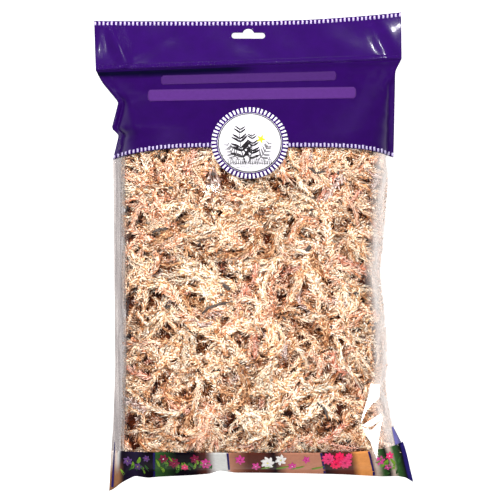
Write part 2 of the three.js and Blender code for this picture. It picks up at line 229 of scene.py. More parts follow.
studio = {
    "floor": (0.25, 0.25, 0.25, 1),
    "glow": 0.97,
    "world": (0.27, 0.27, 0.275),
    "lights": {  # place, aim, size, power, tint, whether its reflection shows
        "keyUpperLeft": ((-0.75, 1.20, 1.30), (0, 0, 0), (0.6, 0.6), 70, (1.0, 0.985, 0.965), False),
        "fillUpperRight": ((0.75, 1.25, 1.25), (0, 0, 0), (0.6, 0.6), 38, (1.0, 0.985, 0.965), False),
        "fillBottom": ((0.35, -1.25, 1.05), (0.04, -0.08, 0), (0.8, 0.5), 29, (1.0, 0.985, 0.965), False),
        "kickerRight": ((1.15, -0.47, 0.6), (0.1, -0.15, 0.03), (0.28, 0.24), 1.5, (1, 1, 1), True),
        "sheenUpperLeft": (
            (-0.276, 0.394, 2.42), (-0.139, 0.197, 0.012), (0.055, 0.075), 11, (1, 1, 1), True,
        ),
    },
    "distance": 2.4,
    "frameWidth": 0.475,
    "aimX": -0.0019,
    "level": 0.022,
}

facets = (  # outlines in the plan of the flat facets where the taut film folds
    ((0.1115, -0.1257), (0.1203, -0.1267), (0.1197, -0.1397), (0.1134, -0.1446), (0.1076, -0.1514),
     (0.1021, -0.1636), (0.1037, -0.1553), (0.1086, -0.1397)),
    ((0.1028, -0.1650), (0.1212, -0.1543), (0.1230, -0.1580), (0.1212, -0.1679), (0.1193, -0.1805),
     (0.1178, -0.1969), (0.1115, -0.1805), (0.1076, -0.1747)),
)

# the lamp that the facets face, their depth under the curve, and where they start and end to blend into it
facetLook = {"light": "kickerRight", "depth": 0.0006, "inner": 0.0010, "edge": 0.0040}

flaps = (  # taut folded film in the plane of a facet: the facet's number and the outline in the plan
    (0, facets[0]),
    (1, ((0.1028, -0.1650), (0.1212, -0.1543), (0.1230, -0.1580), (0.1180, -0.1622), (0.1130, -0.1655),
         (0.1080, -0.1660))),
    (1, ((0.1035, -0.1662), (0.1080, -0.1690), (0.1130, -0.1694), (0.1185, -0.1640), (0.1232, -0.1590),
         (0.1212, -0.1679), (0.1193, -0.1805), (0.1178, -0.1969), (0.1115, -0.1805), (0.1076, -0.1747))),
)


def outlineDistance(outline, x, y):  # negative inside the outline
    inside = np.zeros(np.shape(x), bool)
    nearest = np.full(np.shape(x), 1.0)
    for (x0, y0), (x1, y1) in zip(outline, outline[1:] + outline[:1]):
        nearest = np.minimum(nearest, besideLine(x, y, x0, y0, x1, y1)[1])
        if y1 != y0:
            inside ^= ((y0 > y) != (y1 > y)) & (x < x0 + (x1 - x0) * (y - y0) / (y1 - y0))
    return np.where(inside, -nearest, nearest)


def facetPlane(outline, x, y):
    cx, cy = np.mean(outline, axis=0)
    t, row = shareAndRow(np.array([cx]), np.array([cy]))
    cz = float(frontZ(t, row)[0]) - facetLook["depth"]
    toCamera = np.array([studio["aimX"] - cx, -cy, studio["distance"] + studio["level"] - cz])
    toLight = np.array(studio["lights"][facetLook["light"]][0]) - (cx, cy, cz)
    facing = toCamera / np.linalg.norm(toCamera) + toLight / np.linalg.norm(toLight)
    return cz - (facing[0] * (x - cx) + facing[1] * (y - cy)) / facing[2]


def frontFace(t, row, x, y):
    z = frontZ(t, row) + creaseLift(x, y)
    for outline in facets:
        share = 1 - ease(outlineDistance(outline, x, y), facetLook["inner"], facetLook["edge"])
        z = z + (facetPlane(outline, x, y) - z) * share
    return z


def headerFace(t, row, x, y):
    ripple = 0.0007 * np.sin(x / 0.021 + 1.4) + 0.0005 * np.sin(x / 0.009 + y / 0.013)
    corner = 0.0016 * np.exp(-(((x + 0.146) / 0.006) ** 2)) * ease(row, 0.18, 0.2)
    return seamZ(t, row) + bag["wall"] + creaseLift(x, y) + (ripple + corner) * ease(row, 0.18, 0.2)


def outerZ(x, y):  # outer face of the bag's front, header and all, over a point of the plan
    t, row = shareAndRow(x, y)
    seal, top = sealLine(t), topLine(t)
    upper = bag["sealRow"] + np.clip((y - seal) / (top - seal), 0, 1) * (bag["topRow"] - bag["sealRow"])
    lap = films["lapLift"] * ((y > printLine(t)) | (y < stripLine(t)))
    return np.where(y > seal, headerFace(t, upper, x, y), frontFace(t, row, x, y) + lap)


def linear(red, green, blue):
    parts = [c / 255 for c in (red, green, blue)]
    return (*[((part + 0.055) / 1.055) ** 2.4 if part > 0.04 else part / 12.92 for part in parts], 1.0)


def newMaterial(name):
    material = bpy.data.materials.new(name)
    material.use_nodes = True
    tree = material.node_tree
    return material, tree, tree.nodes["Principled BSDF"]


def addNode(tree, kind, inputs=(), **settings):
    node = tree.nodes.new(kind)
    for name, value in settings.items():
        setattr(node, name, value)
    for name, value in dict(inputs).items():
        if hasattr(value, "is_output"):
            tree.links.new(value, node.inputs[name])
        else:
            node.inputs[name].default_value = value
    return node


def noiseOf(tree, scale, detail=2.0, roughness=0.5, stretch=(1, 1, 1)):
    place = addNode(tree, "ShaderNodeTexCoord")
    drawn = addNode(tree, "ShaderNodeMapping", {"Vector": place.outputs["Object"], "Scale": stretch})
    return addNode(tree, "ShaderNodeTexNoise",
                   {"Vector": drawn.outputs[0], "Scale": scale, "Detail": detail, "Roughness": roughness})


def bumpOf(tree, source, strength, distance):
    return addNode(tree, "ShaderNodeBump", {"Height": source, "Strength": strength, "Distance": distance})


def rangeOf(tree, source, low, high, start, end):  # the source's low to high becomes start to end
    limits = {"From Min": low, "From Max": high, "To Min": start, "To Max": end}
    return addNode(tree, "ShaderNodeMapRange", {"Value": source, **limits}).outputs[0]


def blendOf(tree, share, first, second):
    inputs = {"Fac": share.outputs[0], 1: first.outputs[0], 2: second.outputs[0]}
    return addNode(tree, "ShaderNodeMixShader", inputs)


filmLook = {"roughness": 0.06, "hazeColour": (0.70, 0.665, 0.650, 1)}


def clearFilm(name, tint, hazeShare, mirror=0.014, stretch=(1, 1, 1)):
    material, tree, shader = newMaterial(name)
    tree.nodes.remove(shader)
    crinkle = bumpOf(tree, noiseOf(tree, 85, 3).outputs["Fac"], 0.16, 0.0012).outputs["Normal"]
    clear = addNode(tree, "ShaderNodeBsdfTransparent", {"Color": tint})
    haze = addNode(tree, "ShaderNodeBsdfDiffuse", {"Color": filmLook["hazeColour"]})
    gloss = addNode(tree, "ShaderNodeBsdfGlossy", {"Roughness": filmLook["roughness"], "Normal": crinkle})
    streaks = rangeOf(tree, noiseOf(tree, 60, 3, stretch=stretch).outputs["Fac"], 0.4, 0.65, 0.0, hazeShare)
    milk = addNode(tree, "ShaderNodeAttribute", attribute_name="milk")
    both = {0: streaks, 1: milk.outputs["Fac"]}
    cloud = addNode(tree, "ShaderNodeMath", both, operation="ADD", use_clamp=True)
    body = blendOf(tree, cloud, clear, haze)
    weight = addNode(tree, "ShaderNodeLayerWeight", {"Blend": 0.5, "Normal": crinkle})
    power = addNode(tree, "ShaderNodeMath", {0: weight.outputs["Facing"], 1: 5.0}, operation="POWER")
    share = addNode(tree, "ShaderNodeMath", {0: power.outputs[0], 1: 0.9, 2: mirror},
                    operation="MULTIPLY_ADD", use_clamp=True)
    whole = blendOf(tree, share, body, gloss)
    tree.links.new(whole.outputs[0], tree.nodes["Material Output"].inputs["Surface"])
    return material


def paintedBy(name, attribute, look):  # colour held on the mesh, broken up by a fine grain
    material, tree, shader = newMaterial(name)
    tint = addNode(tree, "ShaderNodeAttribute", attribute_name=attribute)
    speck = noiseOf(tree, look["scale"], 3, 0.65).outputs["Fac"]
    darkest, palest = look["level"] * (1 - look["grain"]), look["level"] * (1 + look["grain"])
    tone = rangeOf(tree, speck, 0.3, 0.7, darkest, palest)
    scaled = addNode(tree, "ShaderNodeVectorMath", {0: tint.outputs["Color"]}, operation="SCALE")
    tree.links.new(tone, scaled.inputs["Scale"])
    tree.links.new(scaled.outputs[0], shader.inputs["Base Color"])
    dents = bumpOf(tree, speck, look["bump"], 0.001)
    tree.links.new(dents.outputs["Normal"], shader.inputs["Normal"])
    shader.inputs["Roughness"].default_value = look["roughness"]
    shader.inputs["Specular IOR Level"].default_value = look["specular"]
    shader.inputs["Coat Weight"].default_value = look.get("coat", 0.0)
    shader.inputs["Coat Roughness"].default_value = 0.1
    return material


looks = {
    "film": clearFilm("clearFilm", (0.985, 0.983, 0.985, 1), 0.002, 0.010),
    "fold": clearFilm("foldedFilm", (0.97, 0.97, 0.975, 1), 0.01, 0.27),
    "weld": clearFilm("weldedFilm", (0.76, 0.74, 0.74, 1), 0.2, stretch=(9, 0.35, 1)),
    "purple": paintedBy("purplePrint", "ink", {"scale": 90, "grain": 0.10, "level": 0.52, "bump": 0.2,
                                               "roughness": 0.25, "specular": 0.16, "coat": 0.22}),
    "panel": paintedBy("panelPrint", "ink", {"scale": 90, "grain": 0.10, "level": 0.52, "bump": 0.15,
                                             "roughness": 0.30, "specular": 0.14}),
    "ink": paintedBy("plainInk", "ink", {"scale": 300, "grain": 0.06, "level": 0.52, "bump": 0.1,
                                         "roughness": 0.4, "specular": 0.10}),
    "picture": paintedBy("pictureInk", "ink", {"scale": 300, "grain": 0.10, "level": 0.52, "bump": 0.1,
                                               "roughness": 0.5, "specular": 0.03}),
    "moss": paintedBy("driedMoss", "mossTint", {"scale": 700, "grain": 0.30, "level": 1.08, "bump": 0.5,
                                                "roughness": 0.9, "specular": 0.02}),
}
print("materials ready")


def mixed(first, second, share):
    share = np.asarray(share)[..., None]
    return np.asarray(first) * (1 - share) + np.asarray(second) * share


printAndShadeTones = {
    "header": linear(44, 4, 92),
    "panel": linear(38, 3, 80),
    # painted shade for just under the cross seal's lip
    "sealShade": linear(2, 0, 30),
}


def printWithSealShade(x, y):  # the purple print, with painted shade just under the cross seal
    t, _ = shareAndRow(x, y)
    over = ease(y - sealLine(t), -0.0005, 0.0005)
    drop = sealLine(t) - y
    # painted shade under the seal, weaker towards the right
    sealShade = ease(drop, 0.0003, 0.0010) * (1 - ease(drop, 0.0066, 0.0080)) * (1 - 0.85 * ease(x, -0.02, 0.01))
    panel = mixed(printAndShadeTones["panel"], printAndShadeTones["sealShade"], sealShade)
    return mixed(panel, np.asarray(printAndShadeTones["header"]), over)


def giveInk(piece, colours):
    tint = piece.data.color_attributes.new("ink", "FLOAT_COLOR", "POINT")
    tint.data.foreach_set("color", np.ascontiguousarray(colours, dtype=np.float32).ravel())


def setPoints(obj, points):
    obj.data.vertices.foreach_set("co", np.ascontiguousarray(points, dtype=np.float32).ravel())
    obj.data.update()


def getPoints(obj):
    flat = np.zeros(len(obj.data.vertices) * 3, np.float32)
    obj.data.vertices.foreach_get("co", flat)
    return flat.reshape(-1, 3).astype(float)


def newObject(name, data):
    obj = bpy.data.objects.new(name, data)
    bpy.context.scene.collection.objects.link(obj)
    return obj


def editAll(obj, *steps):  # takes each step in edit mode with everything selected
    bpy.ops.object.select_all(action="DESELECT")
    obj.select_set(True)
    bpy.context.view_layer.objects.active = obj
    bpy.ops.object.mode_set(mode="EDIT")
    for step in steps:
        bpy.ops.mesh.select_all(action="SELECT")
        step()
    bpy.ops.object.mode_set(mode="OBJECT")


def gridPiece(name, columns, rows):  # a flat grid whose corners are at -1 and 1
    bpy.ops.mesh.primitive_grid_add(x_subdivisions=columns, y_subdivisions=rows, size=2, location=(0, 0, 0))
    piece = bpy.context.object
    piece.name = name
    piece.data.name = name
    return piece


def thicken(piece, thickness, offset=-1.0):
    shell = piece.modifiers.new("wall", "SOLIDIFY")
    shell.thickness = thickness
    shell.offset = offset
    shell.use_even_offset = False
    bpy.context.view_layer.objects.active = piece
    bpy.ops.object.modifier_apply(modifier=shell.name)


def finishPiece(piece, material, smooth=True):
    piece.data.materials.clear()
    piece.data.materials.append(material)
    piece.data.polygons.foreach_set("use_smooth", [smooth] * len(piece.data.polygons))
    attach(piece, "root")
    piece.select_set(False)
    return piece


def printPiece(piece, colours, thickness, look):
    giveInk(piece, colours)
    thicken(piece, thickness)
    return finishPiece(piece, looks[look])


films = {
    "window": {"columns": 110, "rows": 104},
    "panel": {"columns": 120, "rows": 33},
    "strip": {"columns": 120, "rows": 9},
    "header": {"columns": 150, "rows": 24},
    "back": {"columns": 84, "rows": 84},
    "edge": 0.999,
    "crowding": 0.5,  # the columns stand closer towards the welds
    "weldBand": -0.912,  # the left weld's inner edge
    "milk": (0.83, 0.95, 0.44),  # where the film clouds over towards the right weld, and how much
    "thick": 0.00025,
    "printThick": 0.0003,
    "inkThick": 0.00012,
    "lap": 0.0018,  # how far the clear film runs on under the printed film
    "lapLift": 0.0004,
}


def spread(u):
    return films["edge"] * (u + films["crowding"] * np.sin(math.pi * u) / math.pi)


def weldBands(piece, cloud=1.0):  # the films' joined edges: tinted on the left, milky on the right
    piece.data.materials.append(looks["weld"])
    corners = getPoints(piece)
    t, row = shareAndRow(corners[:, 0], corners[:, 1])
    for face in piece.data.polygons:
        if max(t[i] for i in face.vertices) < films["weldBand"]:
            face.material_index = 1
    start, full, most = films["milk"]
    streaks = 0.72 + 0.28 * np.sin(t / 0.011 + 3 * np.sin(row / 0.023)) * np.sin(row / 0.017 + 1.0)
    milk = piece.data.attributes.new("milk", "FLOAT", "POINT")
    milk.data.foreach_set("value", (cloud * most * streaks * ease(t, start, full)).astype(np.float32))


def sheetPlan(name, lowLine, highLine, size):  # a grid laid out between two lines across the bag
    piece = gridPiece(name, size["columns"], size["rows"])
    u, v, _ = getPoints(piece).T
    t = spread(u)
    y = lowLine(t) + (highLine(t) - lowLine(t)) * (v + 1) / 2
    row = rowOf(t, y)
    return piece, t, row, sideX(t, row), y


def frontSheet(name, lowLine, highLine, size, lift=0.0):
    piece, t, row, x, y = sheetPlan(name, lowLine, highLine, size)
    setPoints(piece, np.column_stack((x, y, frontFace(t, row, x, y) + lift)))
    return piece


def backSheet(name, lowLine, highLine, size):
    piece, t, row, x, y = sheetPlan(name, lowLine, highLine, size)
    z = np.maximum(backZ(t, row) + 0.5 * creaseLift(x, y) * ease(backZ(t, row), 0.001, 0.006), 0.0)
    setPoints(piece, np.column_stack((x, y, z)))
    editAll(piece, bpy.ops.mesh.flip_normals)
    return piece


def makeFilms():
    front = frontSheet(
        "frontFilm",
        lambda t: stripLine(t) - films["lap"],
        lambda t: printLine(t) + films["lap"],
        films["window"],
    )
    thicken(front, films["thick"])
    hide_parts("front_film")
    finishPiece(front, looks["film"])
    weldBands(front)
    panel = frontSheet("frontPanel", printLine, sealLine, films["panel"], films["lapLift"])
    plan = getPoints(panel)
    printPiece(panel, printWithSealShade(plan[:, 0], plan[:, 1]), films["printThick"], "panel")
    back = backSheet("backFilm", bottomLine, printLine, films["back"])
    thicken(back, films["thick"])
    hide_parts("back_film")
    finishPiece(back, looks["film"])
    weldBands(back, 0.15)
    backPanel = backSheet("backPanel", printLine, sealLine, films["panel"])
    tones = np.tile(printAndShadeTones["panel"], (len(backPanel.data.vertices), 1))
    printPiece(backPanel, tones, films["printThick"], "purple")


slotCut = {
    "x": -0.0035,
    "y": 0.2045,
    "width": 0.032,
    "height": 0.0056,
    "hump": 0.0058,
    "humpRise": 0.0008,
    "steps": 10,
    "foot": -0.02,  # the cutter's lower end
    "deep": 0.06,
}


def slotCutter():  # a prism with the hang slot's outline, its hump upwards
    half, hump, up = slotCut["height"] / 2, slotCut["hump"], slotCut["humpRise"]
    reach = slotCut["width"] / 2 - half
    rise = math.asin((half - up) / hump)
    arcs = (
        (-reach, 0.0, half, math.pi / 2, 3 * math.pi / 2),
        (reach, 0.0, half, -math.pi / 2, math.pi / 2),
        (0.0, up, hump, rise, math.pi - rise),
    )
    outline = []
    for x, y, radius, start, end in arcs:
        cx, cy = slotCut["x"] + x, slotCut["y"] + y
        for n in range(slotCut["steps"] + 1):
            turn = start + (end - start) * n / slotCut["steps"]
            outline.append((cx + radius * math.cos(turn), cy + radius * math.sin(turn)))
    mesh = bpy.data.meshes.new("slotCutter")
    mesh.from_pydata([(x, y, slotCut["foot"]) for x, y in outline], [], [tuple(range(len(outline)))])
    cutter = newObject("slotCutter", mesh)
    upwards = {"value": (0, 0, slotCut["deep"])}
    editAll(
        cutter,
        lambda: bpy.ops.mesh.extrude_region_move(TRANSFORM_OT_translate=upwards),
        lambda: bpy.ops.mesh.normals_make_consistent(inside=False),
    )
    return cutter


header = {"lap": 0.0006, "thick": 0.0009, "lift": 0.00015}  # its foot laps over the panel


def makeHeader():
    piece = gridPiece("headerStrip", films["header"]["columns"], films["header"]["rows"])
    u, v, _ = getPoints(piece).T
    t = spread(u)
    share = (v + 1) / 2
    y = sealLine(t) - header["lap"] + (topLine(t) - sealLine(t) + header["lap"]) * share
    row = bag["sealRow"] + share * (bag["topRow"] - bag["sealRow"])
    setPoints(piece, np.column_stack((sideX(t, row), y, 0 * y)))
    thicken(piece, header["thick"])
    cutter = slotCutter()
    cut = piece.modifiers.new("slot", "BOOLEAN")
    cut.operation = "DIFFERENCE"
    cut.object = cutter
    flat = piece.modifiers.new("flatFaces", "TRIANGULATE")
    bpy.context.view_layer.objects.active = piece
    bpy.ops.object.modifier_apply(modifier=cut.name)
    bpy.ops.object.modifier_apply(modifier=flat.name)
    bpy.data.objects.remove(cutter)
    corners = getPoints(piece)  # the cut plate is bent to the header's form
    corners[:, 2] += outerZ(corners[:, 0], corners[:, 1]) + header["lift"]
    setPoints(piece, corners)
    giveInk(piece, printWithSealShade(corners[:, 0], corners[:, 1]))
    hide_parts("header")
    finishPiece(piece, looks["purple"])


crimp = {
    "columns": 420,
    "rows": 3,
    "share": 0.985,  # how far it reaches across the bag
    "foot": 0.0004,
    "tall": 0.0044,
    "pitch": 0.0027,
    "rise": 0.0005,
    "lift": 0.0003,
    "thick": 0.0002,
}


def makeCrimp():  # fine upright ribs pressed along the cross seal
    piece = gridPiece("sealCrimp", crimp["columns"], crimp["rows"])
    u, v, _ = getPoints(piece).T
    t = crimp["share"] * u
    y = sealLine(t) + crimp["foot"] + crimp["tall"] * (v + 1) / 2
    x = sideX(t, rowOf(t, y))
    waver = 1.6 * np.sin(x / 0.013) + 0.9 * np.sin(y / 0.0011)
    rib = 0.5 + 0.5 * np.sin(2 * math.pi * x / crimp["pitch"] + waver)
    quiet = 1 - 0.7 * ease(x, -0.03, 0.0)
    setPoints(piece, np.column_stack((x, y, outerZ(x, y) + crimp["lift"] + crimp["rise"] * rib * quiet)))
    printPiece(piece, printWithSealShade(x, y), crimp["thick"], "purple")


def makeFlaps():
    points, faces = [], []
    for number, outline in flaps:
        faces.append(tuple(range(len(points), len(points) + len(outline))))
        points += [(x, y, facetPlane(facets[number], x, y) + 0.0006) for x, y in outline]
    mesh = bpy.data.meshes.new("foldFlaps")
    mesh.from_pydata(points, [], faces)
    piece = newObject("foldFlaps", mesh)
    editAll(piece, lambda: bpy.ops.mesh.normals_make_consistent(inside=False))
    thicken(piece, 0.00015, 0.0)
    finishPiece(piece, looks["fold"], smooth=False)


makeFilms()
makeFlaps()
makeHeader()
makeCrimp()
print("films ready")


class Sheet:  # flat shapes gathered into one mesh, each with its own ink
    def __init__(self):
        self.points, self.faces, self.inks = [], [], []

    def add(self, points, faces, ink):
        first = len(self.points)
        self.points += [tuple(p) for p in points]
        self.faces += [tuple(first + i for i in face) for face in faces]
        self.inks += [ink] * len(points)

    def fan(self, middle, outline, ink):
        count = len(outline)
        self.add([middle, *outline], [(0, 1 + i, 1 + (i + 1) % count) for i in range(count)], ink)

    def piece(self, name, lift, look="ink"):
        mesh = bpy.data.meshes.new(name)
        plan = np.array(self.points)
        z = outerZ(plan[:, 0], plan[:, 1]) + lift
        mesh.from_pydata(np.column_stack((plan, z)).tolist(), [], self.faces)
        return printPiece(newObject(name, mesh), self.inks, films["inkThick"], look)


inks = {
    "white": linear(240, 238, 246),
    "lilac": linear(190, 178, 218),
    "paleLilac": linear(206, 192, 236),
    "purple": linear(52, 18, 102),
    "night": linear(14, 8, 18),
    "bark": linear(140, 98, 70),
    "soot": linear(38, 36, 40),
    "grey": linear(120, 118, 122),
    "paleGrey": linear(190, 190, 192),
    "yellow": linear(236, 226, 60),
    "navy": linear(34, 26, 92),
    "terracotta": linear(188, 128, 104),
    "umber": linear(88, 44, 36),
    "leaf": linear(112, 152, 48),
    "deepLeaf": linear(52, 92, 44),
    "wine": linear(126, 26, 62),
    "magenta": linear(214, 70, 150),
    "pink": linear(238, 64, 122),
    "hotPink": linear(246, 34, 92),
    "lavender": linear(104, 100, 166),
    "petal": linear(246, 242, 240),
    "orange": linear(226, 150, 84),
    "violet": linear(96, 66, 122),
    "barOne": linear(66, 34, 100),
    "barTwo": linear(80, 42, 116),
    "sand": linear(206, 184, 172),
    "petalGrey": linear(216, 216, 214),
    "violetDark": linear(36, 28, 54),
}

borders = {"pitch": 0.00375, "dashWide": 0.0018, "dashTall": 0.0038}


def dashAlong(sheet, line, drop, ink):
    t = -0.992
    while t < 0.994:
        share = np.array([t])
        x = float(sideX(share, rowOf(share, line(share)))[0])
        y = float(line(share)[0]) - drop
        half = borders["dashWide"] / 2
        tall = borders["dashTall"]
        lean = 0.0003 * math.sin(37 * t)
        tall *= 0.92 + 0.08 * math.sin(91 * t)
        sheet.add([(x - half, y), (x + half, y), (x + half + lean, y + tall / 2), (x + half, y + tall),
                   (x - half, y + tall), (x - half + lean, y + tall / 2)], [(0, 1, 2, 5), (5, 2, 3, 4)], ink)
        t += 2 * borders["pitch"] / 0.272


def makeBorders():
    sheet = Sheet()
    dashAlong(sheet, topLine, borders["dashTall"] + 0.0004, inks["paleLilac"])
    dashAlong(sheet, printLine, -0.0006, inks["lilac"])
    sheet.piece("dashBorders", 0.0003)


bars = (  # left, right, height at the left end, at the right end, thickness
    (-0.0865, 0.0800, 0.1615, 0.1656, 0.0090),
    (-0.0988, 0.0985, 0.1464, 0.1490, 0.0112),
)


def makeBars():
    for number, (left, right, leftY, rightY, tall) in enumerate(bars):
        piece = gridPiece(f"paleBar{number + 1}", 90, 5)
        u, v, _ = getPoints(piece).T
        rounded = -0.0020 * np.sign(u) * v**4 * (np.abs(u) > 0.99)
        x = left + (right - left) * (u + 1) / 2 + rounded
        y = leftY + (rightY - leftY) * (u + 1) / 2 + v * tall / 2
        setPoints(piece, np.column_stack((x, y, outerZ(x, y) + 0.00035)))
        printPiece(piece, np.tile(inks["barTwo" if number else "barOne"], (len(x), 1)), 0.0002, "ink")


badge = {"x": -0.0021, "y": 0.1005, "wide": 0.0360, "tall": 0.0340, "discShare": 0.84, "dashes": 56}


def badgePoint(turn, share):
    x = badge["x"] + badge["wide"] * share * math.cos(turn)
    return x, badge["y"] + badge["tall"] * share * math.sin(turn)


def discRing(sheet, inner, outer, ink, sectors=96, rings=6):
    points, faces = [], []
    for ring in range(rings + 1):
        share = inner + (outer - inner) * ring / rings
        points += [badgePoint(2 * math.pi * n / sectors, share) for n in range(sectors)]
    for ring in range(rings):
        for n in range(sectors):
            a, b = ring * sectors + n, ring * sectors + (n + 1) % sectors
            faces.append((a, a + sectors, b + sectors, b))
    if inner == 0:
        points = points[sectors:] + [(badge["x"], badge["y"])]
        faces = [tuple(i - sectors for i in face) for face in faces[sectors:]]
        faces += [(len(points) - 1, n, (n + 1) % sectors) for n in range(sectors)]
    sheet.add(points, faces, ink)


def stroke(sheet, points, wide, ink):  # a drawn line that tapers to its tip
    points = np.array(points)
    ahead = np.gradient(points, axis=0)
    ahead /= np.linalg.norm(ahead, axis=1)[:, None]
    taper = 1 - 0.75 * np.linspace(0, 1, len(points))
    side = np.column_stack((-ahead[:, 1], ahead[:, 0])) * (wide * taper)[:, None] / 2
    count = len(points)
    sheet.add(np.vstack((points + side, points - side)),
              [(n, count + n, count + n + 1, n + 1) for n in range(count - 1)], ink)


def leafShape(sheet, x, y, turn, long, wide, ink):
    cosine, sine = math.cos(turn), math.sin(turn)
    outline = []
    for n in range(10):
        angle = 2 * math.pi * n / 10
        u = (0.5 + 0.5 * math.cos(angle)) * long
        v = math.sin(angle) * wide / 2 * (0.75 + 0.35 * math.cos(angle + 2.2))
        outline.append((x + u * cosine - v * sine, y + u * sine + v * cosine))
    sheet.fan((x + 0.5 * long * cosine, y + 0.5 * long * sine), outline, ink)


def sprig(sheet, x, y, turn, long, ink, pairs=7):  # a bent stem with paired leaflets
    bend = 0.5 * (1 if math.cos(turn) > 0 else -1)
    steps = [turn + bend * (n / 12) for n in range(13)]
    points = [(x, y)]
    for angle in steps:
        px, py = points[-1]
        points.append((px + long / 13 * math.cos(angle), py + long / 13 * math.sin(angle)))
    stroke(sheet, points, 0.0012, ink)
    for n in range(pairs):
        at = 2 + round(n * 11 / pairs)
        px, py = points[at]
        size = long * (0.34 - 0.03 * n)
        for side in (-1, 1):
            leafShape(sheet, px, py, steps[at - 1] + side * 0.95, size, size * 0.3, ink)


def makeBadge():
    ground = Sheet()
    discRing(ground, 0, 1.0, inks["purple"])
    ground.piece("badgeGround", 0.0004)
    face = Sheet()
    discRing(face, 0, badge["discShare"], inks["white"])
    for n in range(badge["dashes"]):
        turn = 2 * math.pi * n / badge["dashes"]
        half = 0.5 * math.pi / badge["dashes"]
        places = ((-1, 0.87), (-1, 1.0), (1, 1.0), (1, 0.87))
        corners = [badgePoint(turn + side * half, share) for side, share in places]
        face.add(corners, [(0, 1, 2, 3)], inks["white"])
    face.piece("badgeFace", 0.0006)
    art = Sheet()
    discRing(art, badge["discShare"] - 0.035, badge["discShare"] - 0.012, inks["soot"], rings=1)
    x, y = badge["x"], badge["y"]
    for n in range(7):  # ground lines
        level = y - 0.012 - 0.0018 * n
        reach = 0.026 - 0.0022 * n
        points = [(x + reach * u, level + 0.0006 * math.sin(9 * u + n)) for u in np.linspace(-1, 1, 24)]
        stroke(art, points, 0.0005, inks["paleGrey"] if n % 2 else inks["grey"])
    sprig(art, x - 0.004, y - 0.019, 1.95, 0.038, inks["soot"])
    sprig(art, x - 0.001, y - 0.019, 1.25, 0.030, inks["soot"])
    sprig(art, x + 0.008, y - 0.016, 0.80, 0.021, inks["grey"], 6)
    sprig(art, x - 0.011, y - 0.015, 2.45, 0.019, inks["grey"], 6)
    for n in range(26):  # grass at the foot
        gx = x - 0.02 + 0.0016 * n
        tall = 0.004 + 0.003 * abs(math.sin(2.3 * n))
        stroke(art, [(gx, y - 0.0205), (gx + 0.0004 * math.sin(n), y - 0.0205 + tall / 2),
                     (gx + 0.0012 * math.sin(1.7 * n), y - 0.0205 + tall)], 0.0009, inks["soot"])
    for n in range(5):  # one small yellow flower
        leafShape(art, x + 0.0105, y + 0.0035, 2 * math.pi * n / 5, 0.0042, 0.0026, inks["yellow"])
    art.piece("badgeArt", 0.0008)


makeBorders()
makeBars()
makeBadge()
print("prints ready")


tiles = (  # left edge as a share across the bag, then the ground's inks and how far along each one stands
    (-1.0, (("sand", 0.0), ("petalGrey", 0.3), ("sand", 0.5), ("petalGrey", 0.75), ("violetDark", 1.0))),
    (-0.93, (("night", 0.0), ("violetDark", 0.45), ("night", 0.8), ("night", 1.0))),
    (-0.703, (("deepLeaf", 0.0), ("night", 0.3), ("night", 0.55), ("umber", 0.72), ("petalGrey", 0.82),
              ("petalGrey", 1.0))),
    (-0.209, (("terracotta", 0.0), ("umber", 0.2), ("umber", 0.36), ("night", 0.5), ("terracotta", 0.62),
              ("terracotta", 1.0))),
    (0.417, (("night", 0.0), ("umber", 0.35), ("umber", 0.6), ("orange", 0.75), ("orange", 1.0))),
    (0.740, (("umber", 0.0), ("sand", 0.12), ("deepLeaf", 0.3), ("night", 0.5), ("sand", 0.62),
             ("deepLeaf", 0.75), ("night", 1.0))),
    (0.966, (("navy", 0.0), ("navy", 1.0))),
    (1.01, ()),
)


def stripPoint(share, level):  # level runs from 0 at the bottom weld to 1 at the strip's top
    t = np.array([share])
    y = bottomLine(t) + (stripLine(t) - bottomLine(t)) * level
    return float(sideX(t, rowOf(t, y))[0]), float(y[0])


def blossom(sheet, x, y, size, ink, heart, petals, turn):
    for n in range(petals):
        leafShape(sheet, x, y, turn + 2 * math.pi * n / petals, size, size * 0.75, ink)
    leafShape(sheet, x - size * 0.15, y, 0.0, size * 0.3, size * 0.3, heart)


